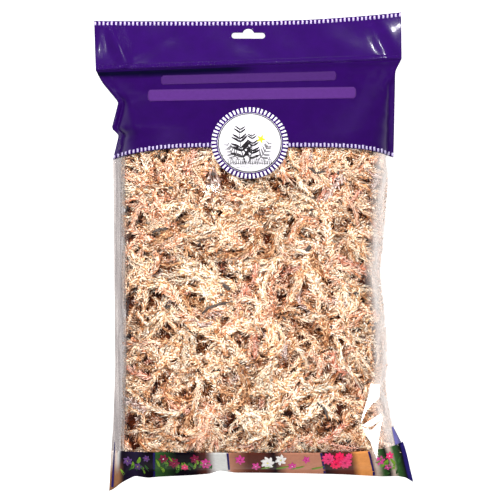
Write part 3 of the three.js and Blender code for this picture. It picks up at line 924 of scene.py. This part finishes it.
def makeStrip():
    piece = frontSheet("bottomStrip", bottomLine, stripLine, films["strip"], films["lapLift"])
    plan = getPoints(piece)
    t, _ = shareAndRow(plan[:, 0], plan[:, 1])
    colours = np.zeros((len(plan), 4))
    for (left, grounds), (right, _) in zip(tiles[:-1], tiles[1:]):
        share = np.clip((t - left) / (right - left), 0, 1)
        places = [place for _, place in grounds]
        channels = zip(*[inks[ink] for ink, _ in grounds])
        blend = np.column_stack([np.interp(share, places, channel) for channel in channels])
        colours = np.where(((t >= left) & (t < right))[:, None], blend, colours)
    colours = mixed(colours, inks["bark"], ease(-t, 0.90, 0.94) * ease(-plan[:, 1], 0.196, 0.216))
    printPiece(piece, colours, films["printThick"], "picture")

    art = Sheet()
    dice = np.random.default_rng(3)
    greens = ("leaf", "deepLeaf")
    for left, right, count in ((-0.90, -0.73, 8), (-0.68, -0.33, 22), (0.76, 0.92, 10)):
        for n in range(count):
            x, y = stripPoint(left + (right - left) * (n + dice.random()) / count, dice.uniform(0.08, 0.55))
            turn, long = dice.uniform(0.6, 2.5), dice.uniform(0.006, 0.0095)
            leafShape(art, x, y, turn, long, dice.uniform(0.0024, 0.0046), inks[greens[n % 2]])
    for share, level, size, ink, heart, petals in (
        (-0.88, 0.66, 0.0048, "violet", "yellow", 6), (-0.81, 0.40, 0.0042, "violet", "yellow", 5),
        (-0.755, 0.75, 0.0036, "violet", "magenta", 6), (-0.64, 0.74, 0.0048, "wine", "petal", 6),
        (-0.57, 0.56, 0.0058, "wine", "pink", 7), (-0.50, 0.36, 0.0040, "pink", "petal", 6),
        (-0.43, 0.72, 0.0050, "wine", "magenta", 6), (-0.36, 0.50, 0.0056, "magenta", "petal", 7),
        (-0.13, 0.66, 0.0052, "magenta", "wine", 6), (-0.03, 0.34, 0.0046, "magenta", "petal", 5),
        (0.05, 0.52, 0.0068, "petal", "yellow", 7), (0.14, 0.66, 0.0058, "petal", "yellow", 6),
        (0.21, 0.36, 0.0044, "magenta", "petal", 6), (0.31, 0.68, 0.0040, "magenta", "wine", 5),
        (0.455, 0.72, 0.0064, "pink", "wine", 9), (0.50, 0.48, 0.0058, "hotPink", "wine", 9),
        (0.535, 0.80, 0.0052, "hotPink", "wine", 8), (0.565, 0.55, 0.0068, "pink", "wine", 9),
        (0.60, 0.82, 0.0036, "pink", "wine", 7), (0.80, 0.60, 0.0052, "magenta", "petal", 6),
        (0.875, 0.72, 0.0042, "pink", "petal", 6), (0.84, 0.34, 0.0036, "magenta", "petal", 5),
    ):
        x, y = stripPoint(share, level)
        blossom(art, x, y, size, inks[ink], inks[heart], petals, 3 * share)
    for share in (0.0, 0.10, 0.20, 0.33):  # long leaves under the pale flowers
        x, y = stripPoint(share, 0.22)
        leafShape(art, x, y, 0.25, 0.013, 0.0026, inks["leaf"])
    for share, _ in tiles[2:-2]:  # lines between the pictures
        levels = np.linspace(0.02, 0.98, 14)
        sides = [stripPoint(share + shift, level) for shift in (-0.007, 0.007) for level in levels]
        art.add(sides, [(n, 14 + n, 15 + n, n + 1) for n in range(13)], inks["navy"])
    art.piece("stripArt", 0.0003, "picture")


earLines = (  # place across the bag, heights of its lower and upper end, width, ink
    (-0.978, -0.2262, -0.182, 0.0022, "navy"),
    (0.962, -0.1838, -0.168, 0.0062, "lavender"),
)


def makeEarLines():  # a line up each bottom corner: navy on the left, pale lavender on the right
    sheet = Sheet()
    for side, foot, reach, wide, ink in earLines:
        t = np.array([side])
        heights = foot + (reach - foot) * np.linspace(0, 1, 60)
        points = [(float(sideX(t, rowOf(t, np.array([y])))[0]), y) for y in heights]
        stroke(sheet, points, wide, inks[ink])
    sheet.piece("earLines", 0.0012)


makeStrip()
makeEarLines()
print("bottom strip ready")


mossPalette = (  # share, colour in the strand's heart, colour of its outer leaves
    (0.40, linear(232, 188, 146), linear(244, 234, 214)),
    (0.32, linear(238, 206, 170), linear(246, 240, 226)),
    (0.16, linear(232, 176, 142), linear(246, 224, 204)),
    (0.03, linear(216, 152, 128), linear(240, 208, 192)),
    (0.02, linear(188, 158, 148), linear(232, 220, 214)),
    (0.07, linear(186, 132, 90), linear(226, 190, 152)),
)

moss = {
    "rows": 4,
    "columns": 3,
    "bottomRow": -0.200,
    "topRow": 0.122,
    "share": 0.915,
    "reachShare": 0.945,  # how far a strand's leaves may go towards the welds
    "rightMore": 0.028,  # how much further it may go at the right weld
    "layers": ((22, 0.0084), (38, 0.0054), (30, 0.0016)),  # locks in a tuft, and their depth
    "backLayers": ((14, 0.0036), (20, 0.0010)),
    "backPress": 0.0018,  # how near the back film its leaves start to be pressed together
    "sprays": 40,
    "sprayDepth": 0.0034,
    "lock": (1, 2),  # strands lying side by side in a lock
    "lockWidth": 0.0056,
    "lockLong": 0.036,
    "wallLocks": 4,
    "shade": (0.30, 0.14, 0.06),  # painted shade on the deepest strands
    "flank": (0.40, 0.23, 0.12),  # painted shade on a strand's sides beside its top
    "bark": linear(70, 63, 60),
    # the mat's top, painted dark brown as the shade between the strands
    "mat": linear(104, 62, 38),
    "matUnder": linear(192, 146, 108),
    "matCells": 22,
    "matBelow": 0.0095,  # from the front film down to the mat, and from the back film up to it
    "matAbove": 0.0066,
    "matHalf": 0.0008,  # half of its least thickness
    "strandBelow": 0.0022,  # from the front film down to the topmost strands, and from the back film up
    "strandAbove": 0.0020,
    "strandLeast": 0.0016,
    "margin": linear(250, 226, 208),  # painted light: strands painted paler in the right weld
}

twigs = (  # tuft row and column, radius, how far below the film, its line in the plan
    (1, 1, 0.0012, 0.0004, ((-0.047, -0.060), (-0.042, -0.0545), (-0.034, -0.0515), (-0.0185, -0.0480))),
    (1, 1, 0.0017, 0.0002, ((-0.0275, -0.0320), (-0.0240, -0.0345), (-0.0205, -0.0370))),
    (1, 1, 0.0011, 0.0002, ((-0.0300, -0.0405), (-0.0285, -0.0420), (-0.0275, -0.0430))),
    (2, 1, 0.0016, 0.0002, ((0.0500, -0.0010), (0.0525, 0.0010), (0.0550, 0.0040))),
    (2, 0, 0.0010, 0.0006, ((-0.094, 0.016), (-0.086, 0.020), (-0.079, 0.019))),
    (3, 2, 0.0011, 0.0006, ((0.052, 0.078), (0.060, 0.072), (0.069, 0.074))),
    (0, 2, 0.0010, 0.0006, ((0.060, -0.142), (0.068, -0.149), (0.071, -0.158))),
)


def leafletMesh():  # one keeled leaf of four faces, pointed at its root and its tip
    bpy.ops.object.select_all(action="DESELECT")
    bpy.ops.mesh.primitive_cone_add(vertices=3, radius1=1.0, radius2=0.0, depth=1.0, location=(0, 0, 0.5),
                                    rotation=(0, 0, math.pi / 2))
    leaf = bpy.context.object
    bpy.ops.object.transform_apply(location=True, rotation=True, scale=False)
    bpy.ops.object.mode_set(mode="EDIT")
    bpy.ops.mesh.select_all(action="DESELECT")
    bpy.ops.object.mode_set(mode="OBJECT")
    for corner in leaf.data.vertices:  # the two side corners go up to where the leaf is widest
        corner.select = abs(corner.co.y) > 0.5
    bpy.ops.object.mode_set(mode="EDIT")
    bpy.ops.transform.translate(value=(0, 0, 0.35))
    bpy.ops.object.mode_set(mode="OBJECT")
    points = getPoints(leaf) * np.array([0.45, 1, 1])
    faces = np.array([tuple(f.vertices) for f in leaf.data.polygons])
    bpy.data.objects.remove(leaf)
    return points, faces


def tubeMesh(rings, sides, radius, long):  # the strand's stem, closed to a tip at both ends
    bpy.ops.object.select_all(action="DESELECT")
    bpy.ops.mesh.primitive_cylinder_add(vertices=sides, radius=radius, depth=long, location=(0, 0, 0))
    stem = bpy.context.object
    levels = [long * (cut / rings - 0.5) for cut in range(1, rings)]
    cuts = [lambda z=z: bpy.ops.mesh.bisect(plane_co=(0, 0, z), plane_no=(0, 0, 1)) for z in levels]
    editAll(stem, *cuts, bpy.ops.mesh.quads_convert_to_tris)
    points = getPoints(stem)
    faces = [tuple(f.vertices) for f in stem.data.polygons]
    bpy.data.objects.remove(stem)
    points = points[:, (2, 0, 1)]
    points[:, 0] += long / 2
    ends = 1 - np.abs(points[:, 0] / long * 2 - 1) ** 4
    points[:, 1:] *= (0.35 + 0.65 * ends)[:, None]
    return points, np.array(faces)


def strandFacts(*values):
    return dict(zip(("long", "leaves", "leafLong", "leafWide", "lean", "stem"), values))


strandKinds = {
    "scaly": strandFacts(0.036, 62, 0.0046, 0.00125, 0.42, 0.0020),
    "combed": strandFacts(0.042, 68, 0.0056, 0.00105, 0.30, 0.0018),
    "shaggy": strandFacts(0.030, 74, 0.0040, 0.00105, 0.75, 0.0015),
    "wispy": strandFacts(0.034, 42, 0.0044, 0.00090, 0.60, 0.0009),
    "headed": strandFacts(0.018, 70, 0.0042, 0.00115, 0.80, 0.0023),
}
plainKind = strandFacts(0.040, 30, 0.0072, 0.0024, 0.46, 0.0026)  # fewer, wider leaves for the underside
sprayKind = strandFacts(0.012, 17, 0.0044, 0.00090, 0.7, 0)
leafTones = (-0.6, -0.25, 0.45, 0.75, 0.95, 1.0, 1.0)  # under 0 darker than the strand's heart, 1 its palest
leafWrap = 1.95  # how far round the strand, from its top, the leaves stand


def strandMesh(kind, facts, needle, seed):
    dice = np.random.default_rng(seed)
    points, faces, tips, rises = [], [], [], []
    first = 0
    if facts["stem"]:
        stem, stemFaces = tubeMesh(8, 6, facts["stem"], facts["long"])
        rises = [stem[:, 2] / facts["stem"]]
        stem[:, 1:] *= dice.uniform(0.7, 1.25, (len(stem), 1))
        points, faces, tips = [stem], [stemFaces], [dice.uniform(0.2, 0.8, len(stem))]
        first = len(stem)
    needlePoints, needleFaces = needle
    tipOf = needlePoints[:, 2]
    for n in range(facts["leaves"]):
        share = (n + dice.random()) / facts["leaves"]
        turn = leafWrap * (2 * (0.618034 * n % 1) - 1) + dice.uniform(-0.2, 0.2)
        lean = facts["lean"] * dice.uniform(0.6, 1.4)
        taper = 0.55 + 0.45 * math.sin(math.pi * min(share * 1.15, 1))
        if kind == "headed":
            taper = 0.5 + 0.9 * share**2
        out = np.array([0, math.sin(turn), math.cos(turn)])
        aim = math.cos(lean) * np.array([1, 0, 0]) + math.sin(lean) * out
        across = np.cross(aim, out)
        across /= np.linalg.norm(across)
        normal = np.cross(across, aim)
        long = facts["leafLong"] * taper * dice.uniform(0.75, 1.3)
        wide = facts["leafWide"] * dice.uniform(0.8, 1.25)
        curl = dice.uniform(-1.5, 2.5) * wide
        local = needlePoints * np.array([wide, wide, long])
        local[:, 0] -= curl * needlePoints[:, 2] ** 2
        root = np.array([share * facts["long"] * 0.94, 0, 0]) + out * facts["stem"] * 0.8
        points.append(root + local[:, :1] * -normal + local[:, 1:2] * across + local[:, 2:3] * aim)
        faces.append(needleFaces + first)
        tips.append((0.35 + 0.65 * tipOf) * dice.choice(leafTones))
        rises.append(np.full(len(needlePoints), math.cos(turn)))
        first += len(needlePoints)
    return np.vstack(points), np.vstack(faces), np.concatenate(tips), np.concatenate(rises), facts["long"]


room = {  # a regular grid over the plan, and the moss's gaps to the films
    "x": (-0.150, 0.1541),
    "y": (-0.226, 0.1601),
    "step": 0.0015,
    "front": 0.0008,
    "fold": 0.0016,
    "back": 0.0007,
}


def heightMaps():  # the floor and the ceiling of the moss
    x, y = np.arange(*room["x"], room["step"]), np.arange(*room["y"], room["step"])
    gridX, gridY = np.meshgrid(x, y, indexing="ij")
    t, row = shareAndRow(gridX, gridY)
    shoulder = 1 - 0.3 * ease(row, 0.104, 0.130)
    top = frontFace(t, row, gridX, gridY) - room["front"]
    for outline in facets:
        top -= room["fold"] * (1 - ease(outlineDistance(outline, gridX, gridY), 0.002, 0.005))
    seam = seamZ(t, row) + room["front"]
    ceiling = seam + (top - seam) * shoulder
    floor = backZ(t, row) + room["back"]
    return {"x": x[0], "y": y[0], "step": room["step"], "ceiling": ceiling, "floor": floor}


def sample(maps, name, x, y):
    grid = maps[name]
    u = np.clip((x - maps["x"]) / maps["step"], 0, grid.shape[0] - 1.001)
    v = np.clip((y - maps["y"]) / maps["step"], 0, grid.shape[1] - 1.001)
    i, j = u.astype(int), v.astype(int)
    fu, fv = u - i, v - j
    near = grid[i, j] * (1 - fu) + grid[i + 1, j] * fu
    far = grid[i, j + 1] * (1 - fu) + grid[i + 1, j + 1] * fu
    return near * (1 - fv) + far * fv


def keepInside(x, y, share):
    t, row = shareAndRow(x, y)
    t = np.clip(t, -share, share + moss["rightMore"] * (1 - ease(row, 0.066, 0.086)))
    corner = 0.009 * np.minimum(np.abs(t / share), 1) ** 5
    row = np.clip(row, moss["bottomRow"] - 0.004 + corner, moss["topRow"] + 0.004 - corner)
    return sideX(t, row), row + slantOf(t, row)


def layHeading(x, y):  # the way the moss lies, in slow swirls
    slow = 2.2 * math.sin(x / 0.037 + 1.3) + 1.9 * math.cos(y / 0.043 + 0.6)
    return slow + 1.2 * math.sin((x + y) / 0.024) + 0.9 * math.cos((x - 2 * y) / 0.051)


def lockPath(dice, x, y, long, heading):  # a wandering line in the plan
    knots = 9
    curl = dice.normal(0, 32)
    wave = dice.uniform(0, 2 * math.pi)
    step = long / (knots - 1)
    line = []
    for n in range(knots):
        line.append((x, y))
        heading += curl * step + dice.normal(0, 0.20) + 0.28 * math.sin(wave + 1.4 * n)
        x += step * math.cos(heading)
        y += step * math.sin(heading)
    return np.array(line)


def strandLine(dice, path, aside, depth, maps, face):
    knots = len(path)
    along = np.linspace(0, 1, knots)
    ahead = np.gradient(path, axis=0)
    ahead /= np.linalg.norm(ahead, axis=1)[:, None]
    sway = aside * (0.35 + 0.65 * np.sin(math.pi * along)) + 0.0012 * np.sin(dice.uniform(0, 6.3) + 6 * along)
    line = path + np.column_stack((-ahead[:, 1], ahead[:, 0])) * sway[:, None]
    px, py = keepInside(line[:, 0], line[:, 1], moss["share"])
    wave = dice.uniform(0, 2 * math.pi)
    undulate = 0.0011 * np.sin(wave + 7 * along) + 0.0030 * np.abs(2 * along - 1) ** 3
    depth = depth * (1 - 0.45 * (ease(py, 0.066, 0.084) + ease(-py, 0.172, 0.186)))  # full up to both prints
    ceiling, floor = sample(maps, "ceiling", px, py), sample(maps, "floor", px, py)
    if face == "front":
        pz = ceiling - moss["strandBelow"] - depth - undulate
    elif face == "back":
        pz = floor + moss["strandAbove"] + depth + undulate
    else:
        pz = floor + (ceiling - floor) * np.clip(depth + 8 * undulate * math.sin(wave), 0.12, 0.88)
    low = np.minimum(floor + moss["strandLeast"], (floor + ceiling) / 2)
    high = np.maximum(ceiling - moss["strandLeast"], (floor + ceiling) / 2)
    return np.column_stack((px, py, np.clip(pz, low, high)))


def bendStrand(kind, line, dice, facing=0.0):
    points, faces, tips, rises, long = kind
    roll = facing + dice.normal(0, 0.35)
    swell = dice.uniform(0.8, 1.25)
    y = (points[:, 1] * math.cos(roll) - points[:, 2] * math.sin(roll)) * swell
    z = (points[:, 1] * math.sin(roll) + points[:, 2] * math.cos(roll)) * swell * 0.85
    share = points[:, 0] / long * (len(line) - 1)
    knot = np.clip(share.astype(int), 0, len(line) - 2)
    part = (share - knot)[:, None]
    ahead = np.gradient(line, axis=0)
    ahead /= np.linalg.norm(ahead, axis=1)[:, None] + 1e-9
    centre = line[knot] * (1 - part) + line[knot + 1] * part
    along = ahead[knot] * (1 - np.clip(part, 0, 1)) + ahead[knot + 1] * np.clip(part, 0, 1)
    side = np.cross([0, 0, 1.0], along)
    side /= np.linalg.norm(side, axis=1)[:, None] + 1e-9
    up = np.cross(along, side)
    return centre + y[:, None] * side + z[:, None] * up, faces, tips, rises


def tuftCushion(maps, row, column):  # the mat under the loose strands, its top painted dark as the shade between them
    cells = moss["matCells"]
    u, v = np.meshgrid(np.linspace(0, 1, cells + 1), np.linspace(0, 1, cells + 1), indexing="ij")
    rows = moss["bottomRow"] + (moss["topRow"] - moss["bottomRow"]) * (row + v) / moss["rows"]
    t = moss["share"] * (2 * (column + u) / moss["columns"] - 1)
    x, y = keepInside(sideX(t, rows), rows + slantOf(t, rows), moss["share"])
    ceiling, floor = sample(maps, "ceiling", x, y), sample(maps, "floor", x, y)
    lumps = 0.0022 * np.sin(x / 0.0041 + 2 * np.sin(y / 0.006)) * np.cos(y / 0.0047 + 1.5 * np.sin(x / 0.007))
    middle = (ceiling + floor) / 2
    top = np.maximum(ceiling - moss["matBelow"] + lumps, middle + moss["matHalf"])
    low = np.minimum(floor + moss["matAbove"] + 0.7 * lumps, middle - moss["matHalf"])
    upper = np.column_stack((x.ravel(), y.ravel(), top.ravel()))
    lower = np.column_stack((x.ravel(), y.ravel(), low.ravel()))
    side = cells + 1
    under = side * side
    faces = []
    for i in range(cells):
        for j in range(cells):
            a, b, c, d = i * side + j, (i + 1) * side + j, (i + 1) * side + j + 1, i * side + j + 1
            faces += [(a, b, c), (a, c, d)]
            faces += [(under + a, under + c, under + b), (under + a, under + d, under + c)]
        for a, b in ((i * side, (i + 1) * side), ((i + 1) * side + cells, i * side + cells)):
            faces += [(a, under + a, under + b), (a, under + b, b)]
        for a, b in ((i + 1, i), (cells * side + i, cells * side + i + 1)):
            faces += [(a, under + a, under + b), (a, under + b, b)]
    return np.vstack((upper, lower)), np.array(faces)


def pickColours(dice):
    pick = dice.random()
    for share, heart, leaf in mossPalette:
        pick -= share
        if pick < 0:
            break
    tone = dice.uniform(0.86, 1.10)
    return np.array(heart[:3]) * tone, np.array(leaf[:3]) * tone


def strandTint(tips, rises, colours):  # pale leaf tips on a warmer heart, with painted shade down the strand's flanks
    heart, leaf = colours
    paler = np.clip(tips, 0, None)[:, None] ** 1.2
    flank = np.array(moss["flank"])
    # painted shade: the strand's sides darker than its top
    lit = flank + (1 - flank) * ease(rises, -0.45, 0.45)[:, None]
    brown = (1 + np.minimum(tips, 0))[:, None] ** np.array([0.8, 1.4, 2.0])
    return (heart + (leaf - heart) * paler) * brown * lit


def underTwigs(x, y, z, ceiling):  # the strands stay low where a twig lies on them
    for _, _, radius, _, places in twigs:
        for (x0, y0), (x1, y1) in zip(places, places[1:]):
            _, off = besideLine(x, y, x0, y0, x1, y1)
            z = np.minimum(z, ceiling - 0.0034 * (1 - ease(off, radius, radius + 0.0012)))
    return z


def twig(dice, radius, depth, places, maps):  # a dark bit of heather stem
    knots, given = np.linspace(0, 1, 9), np.linspace(0, 1, len(places))
    line = np.array([np.interp(knots, given, along) for along in zip(*places)]).T
    z = sample(maps, "ceiling", line[:, 0], line[:, 1]) - radius - depth
    long = float(np.hypot(*np.diff(line, axis=0).T).sum())
    points, faces = tubeMesh(10, 6, radius, long)
    return bendStrand((points, faces, None, None, long), np.column_stack((line, z)), dice)[:2]


def chip(dice, x, y, maps):  # a dark scrap of bark among the strands
    bpy.ops.mesh.primitive_ico_sphere_add(subdivisions=1, radius=1, location=(0, 0, 0))
    scrap = bpy.context.object
    points = getPoints(scrap)
    faces = np.array([tuple(f.vertices) for f in scrap.data.polygons])
    bpy.data.objects.remove(scrap)
    points *= np.array([dice.uniform(0.0016, 0.003), dice.uniform(0.001, 0.0018), 0.0008])
    points *= 1 + 0.3 * dice.uniform(-1, 1, (len(points), 1))
    turn = dice.uniform(0, math.pi)
    spun = points[:, :2] @ np.array([[math.cos(turn), math.sin(turn)], [-math.sin(turn), math.cos(turn)]])
    z = float(sample(maps, "ceiling", np.array([x]), np.array([y]))[0]) - dice.uniform(0.001, 0.003)
    return np.column_stack((spun[:, 0] + x, spun[:, 1] + y, points[:, 2] + z)), faces


def depthTint(x, y, depth, colours):  # painted shade that deepens with depth, painted light that pales the strands in the right weld, rosy in patches
    t, _ = shareAndRow(x, y)
    # painted light in the right weld, where the depth shade is also left off
    weldLightening = ease(t + 0.08 * ease(-y, 0.10, 0.15), 0.87, 0.94)[:, None]
    # painted shade, deeper down between the strands
    deep = ease(depth, 0.0030, 0.0085)[:, None] * (1 - weldLightening)
    colours = colours * (1 - (1 - np.array(moss["shade"])) * deep)
    colours = colours + (np.array(moss["margin"][:3]) - colours) * 0.55 * weldLightening
    rosy = 0.5 + 0.5 * np.sin(x / 0.028 + 0.7) * np.cos(y / 0.035 + 1.2)
    return colours * (1 - np.array([0.0, 0.06, 0.07]) * rosy[:, None])


def triangleMesh(name, points, faces):
    mesh = bpy.data.meshes.new(name)
    mesh.vertices.add(len(points))
    mesh.vertices.foreach_set("co", points.astype(np.float32).ravel())
    mesh.loops.add(faces.size)
    mesh.loops.foreach_set("vertex_index", faces.astype(np.int32).ravel())
    mesh.polygons.add(len(faces))
    mesh.polygons.foreach_set("loop_start", np.arange(0, faces.size, 3, dtype=np.int32))
    mesh.update(calc_edges=True)
    return mesh


def makeTuft(row, column, kinds, plainKinds, sprays, maps):
    dice = np.random.default_rng(100 + 17 * row + 5 * column)
    points, faces, tints = [], [], []
    count = 0

    def gather(newPoints, newFaces, newTints):
        nonlocal count
        points.append(newPoints)
        faces.append(newFaces + count)
        tints.append(newTints)
        count += len(newPoints)

    cushion, cushionFaces = tuftCushion(maps, row, column)
    half = len(cushion) // 2
    # painted shade on the mat's top, its plain tone on the underside
    matTones = np.repeat([moss["mat"][:3], moss["matUnder"][:3]], half, axis=0)
    gather(cushion, cushionFaces, matTones * dice.uniform(0.5, 1.6, (len(cushion), 1)))
    scatter = dice.random(2)

    def startPoint():  # each next place fills the widest gap left so far
        nonlocal scatter
        scatter = (scatter + (0.7548777, 0.5698403)) % 1
        across, up = (scatter + dice.normal(0, 0.03, 2)) % 1
        share = moss["share"] * 0.98 * (2 * (column + across) / moss["columns"] - 1)
        if column == moss["columns"] - 1:
            share += moss["rightMore"] * across
        line = moss["bottomRow"] + (moss["topRow"] - moss["bottomRow"]) * (row + up) / moss["rows"]
        return float(sideX(np.array([share]), np.array([line]))[0]), line

    jobs = [("front", depth) for number, depth in moss["layers"] for _ in range(number)]
    jobs += [("back", depth) for number, depth in moss["backLayers"] for _ in range(number)]
    outer = (column == 0, column == moss["columns"] - 1, row == 0, row == moss["rows"] - 1)
    walls = [side for side, isOuter in zip(("left", "right", "bottom", "top"), outer) if isOuter]
    jobs += [("wall", level) for _ in walls for level in np.linspace(0.25, 0.85, moss["wallLocks"])]
    for face, depth in jobs:
        x, y = startPoint()
        heading = layHeading(x, y) + dice.normal(0, 1.2)
        if face == "wall":
            side = walls[dice.integers(len(walls))]
            if side in ("left", "right"):
                edge = np.array([-moss["share"] if side == "left" else moss["share"]])
                x = float(sideX(edge, np.array([y]))[0])
                heading = math.pi / 2 + dice.normal(0, 0.25)
            else:
                y = moss["bottomRow"] if side == "bottom" else moss["topRow"]
                heading = dice.normal(0, 0.25)
        colours = pickColours(dice)
        long = moss["lockLong"] * dice.uniform(0.65, 1.45)
        if face != "wall":
            x, y = x - 0.5 * long * math.cos(heading), y - 0.5 * long * math.sin(heading)
        path = lockPath(dice, x, y, long, heading)
        strands = int(dice.integers(moss["lock"][0], moss["lock"][1] + 1))
        choice = plainKinds if face == "back" else kinds
        for n in range(strands):
            kind = choice[dice.integers(len(choice))]
            aside = (n - (strands - 1) / 2) * moss["lockWidth"] * dice.uniform(0.7, 1.2)
            sunk = depth if face == "wall" else max(depth + dice.normal(0, 0.0009), 0.0)
            line = strandLine(dice, path, aside, sunk, maps, face)
            bent, bentFaces, *painted = bendStrand(kind, line, dice, math.pi if face == "back" else 0.0)
            own = colours if dice.random() < 0.6 else pickColours(dice)
            gather(bent, bentFaces, strandTint(*painted, own))
    for n in range(moss["sprays"] // (1)):  # short loose leaves between the strands
        x, y = startPoint()
        heading = layHeading(x, y) + dice.normal(0, 1.1)
        lump = math.sin(x / 0.0043 + 2 * math.sin(y / 0.009))
        lump *= math.cos(y / 0.0051 + 1.7 * math.sin(x / 0.008))
        path = lockPath(dice, x, y, sprayKind["long"], heading)
        line = strandLine(dice, path, 0.0, moss["sprayDepth"] * (1 + 0.6 * lump), maps, "front")
        bent, bentFaces, *painted = bendStrand(sprays[n % len(sprays)], line, dice)
        gather(bent, bentFaces, strandTint(*painted, pickColours(dice)))
    points = np.vstack(points)
    faces = np.vstack(faces)
    colours = np.vstack(tints)
    x, y = keepInside(points[:, 0], points[:, 1], moss["reachShare"])
    ceiling, floor = sample(maps, "ceiling", x, y), sample(maps, "floor", x, y)
    middle = (ceiling + floor) / 2
    press = moss["backPress"]  # leaves are pressed against the back film one above the other
    height = points[:, 2] - floor
    z = floor + np.where(height < press, press * np.exp(np.minimum(height / press - 1, 0)), height)
    z = np.clip(z, np.minimum(floor, middle), np.maximum(ceiling, middle))
    z = underTwigs(x, y, z, ceiling)
    colours = depthTint(x, y, np.minimum(ceiling - z, z - floor), colours)
    scraps = []
    for _ in range(2):
        cx, cy = startPoint()
        scraps.append(chip(dice, float(np.clip(cx, -0.11, 0.11)), float(np.clip(cy, -0.18, 0.1)), maps))
    for *tuft, radius, depth, places in twigs:
        if tuft == [row, column]:
            scraps.append(twig(dice, radius, depth, places, maps))
    for scrap, scrapFaces in scraps:
        faces = np.vstack((faces, scrapFaces + len(x)))
        x, y, z = np.append(x, scrap[:, 0]), np.append(y, scrap[:, 1]), np.append(z, scrap[:, 2])
        colours = np.vstack((colours, np.array(moss["bark"][:3]) * dice.uniform(0.6, 1.4, (len(scrap), 1))))
    mesh = triangleMesh(f"mossTuftRow{row + 1}Col{column + 1}", np.column_stack((x, y, z)), faces)
    tint = mesh.color_attributes.new("mossTint", "FLOAT_COLOR", "POINT")
    tint.data.foreach_set("color", np.column_stack((colours, np.ones(len(x)))).astype(np.float32).ravel())
    piece = newObject(mesh.name, mesh)
    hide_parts(f"moss_tuft_row{row + 1}_col{column + 1}")
    finishPiece(piece, looks["moss"])
    return len(faces)


def makeMoss():
    needle = leafletMesh()
    kinds = [strandMesh(kind, facts, needle, 40 + n) for kind, facts in strandKinds.items() for n in range(2)]
    kinds += [strandMesh(kind, strandKinds[kind], needle, 60) for kind in ("scaly", "combed")] * 2
    plainKinds = [strandMesh("plain", plainKind, needle, 80 + n) for n in range(5)]
    sprays = [strandMesh("spray", sprayKind, needle, 70 + n) for n in range(6)]
    maps = heightMaps()
    total = 0
    for row in range(moss["rows"]):
        for column in range(moss["columns"]):
            total += makeTuft(row, column, kinds, plainKinds, sprays, maps)
        print("moss row", row + 1, "of", moss["rows"])
    print("moss ready:", total, "triangles")


makeMoss()


def makeStudio():
    bpy.ops.mesh.primitive_plane_add(size=6, location=(0, 0, -0.0004))
    floor = bpy.context.object
    floor.name = "studioFloor"
    material, tree, shader = newMaterial("paperFloor")
    shader.inputs["Base Color"].default_value = studio["floor"]
    shader.inputs["Roughness"].default_value = 0.9
    shader.inputs["Specular IOR Level"].default_value = 0.0
    shader.inputs["Emission Color"].default_value = (1, 1, 1, 1)
    shader.inputs["Emission Strength"].default_value = studio["glow"]
    floor.data.materials.append(material)
    world = bpy.data.worlds.new("softRoom")
    bpy.context.scene.world = world
    world.use_nodes = True
    world.node_tree.nodes["Background"].inputs["Color"].default_value = (*studio["world"], 1)
    for name, (place, aim, size, power, tint, mirrored) in studio["lights"].items():
        lamp = bpy.data.lights.new(name, "AREA")
        lamp.shape = "RECTANGLE"
        lamp.size, lamp.size_y = size
        lamp.energy = power
        lamp.color = tint
        obj = newObject(name, lamp)
        obj.location = place
        obj.visible_glossy = mirrored
        away = np.array(place) - np.array(aim)
        obj.rotation_euler = (math.atan2(math.hypot(away[0], away[1]), away[2]), 0,
                              math.atan2(away[1], away[0]) + math.pi / 2)
    lens = bpy.data.cameras.new("camera")
    lens.sensor_width = 36
    lens.lens = 36 * studio["distance"] / studio["frameWidth"]
    lens.clip_end = 20
    camera = newObject("camera", lens)
    camera.location = (studio["aimX"], 0, studio["level"] + studio["distance"])
    bpy.context.scene.camera = camera
    bpy.context.scene.view_settings.view_transform = "Standard"


makeStudio()

print("scene ready")
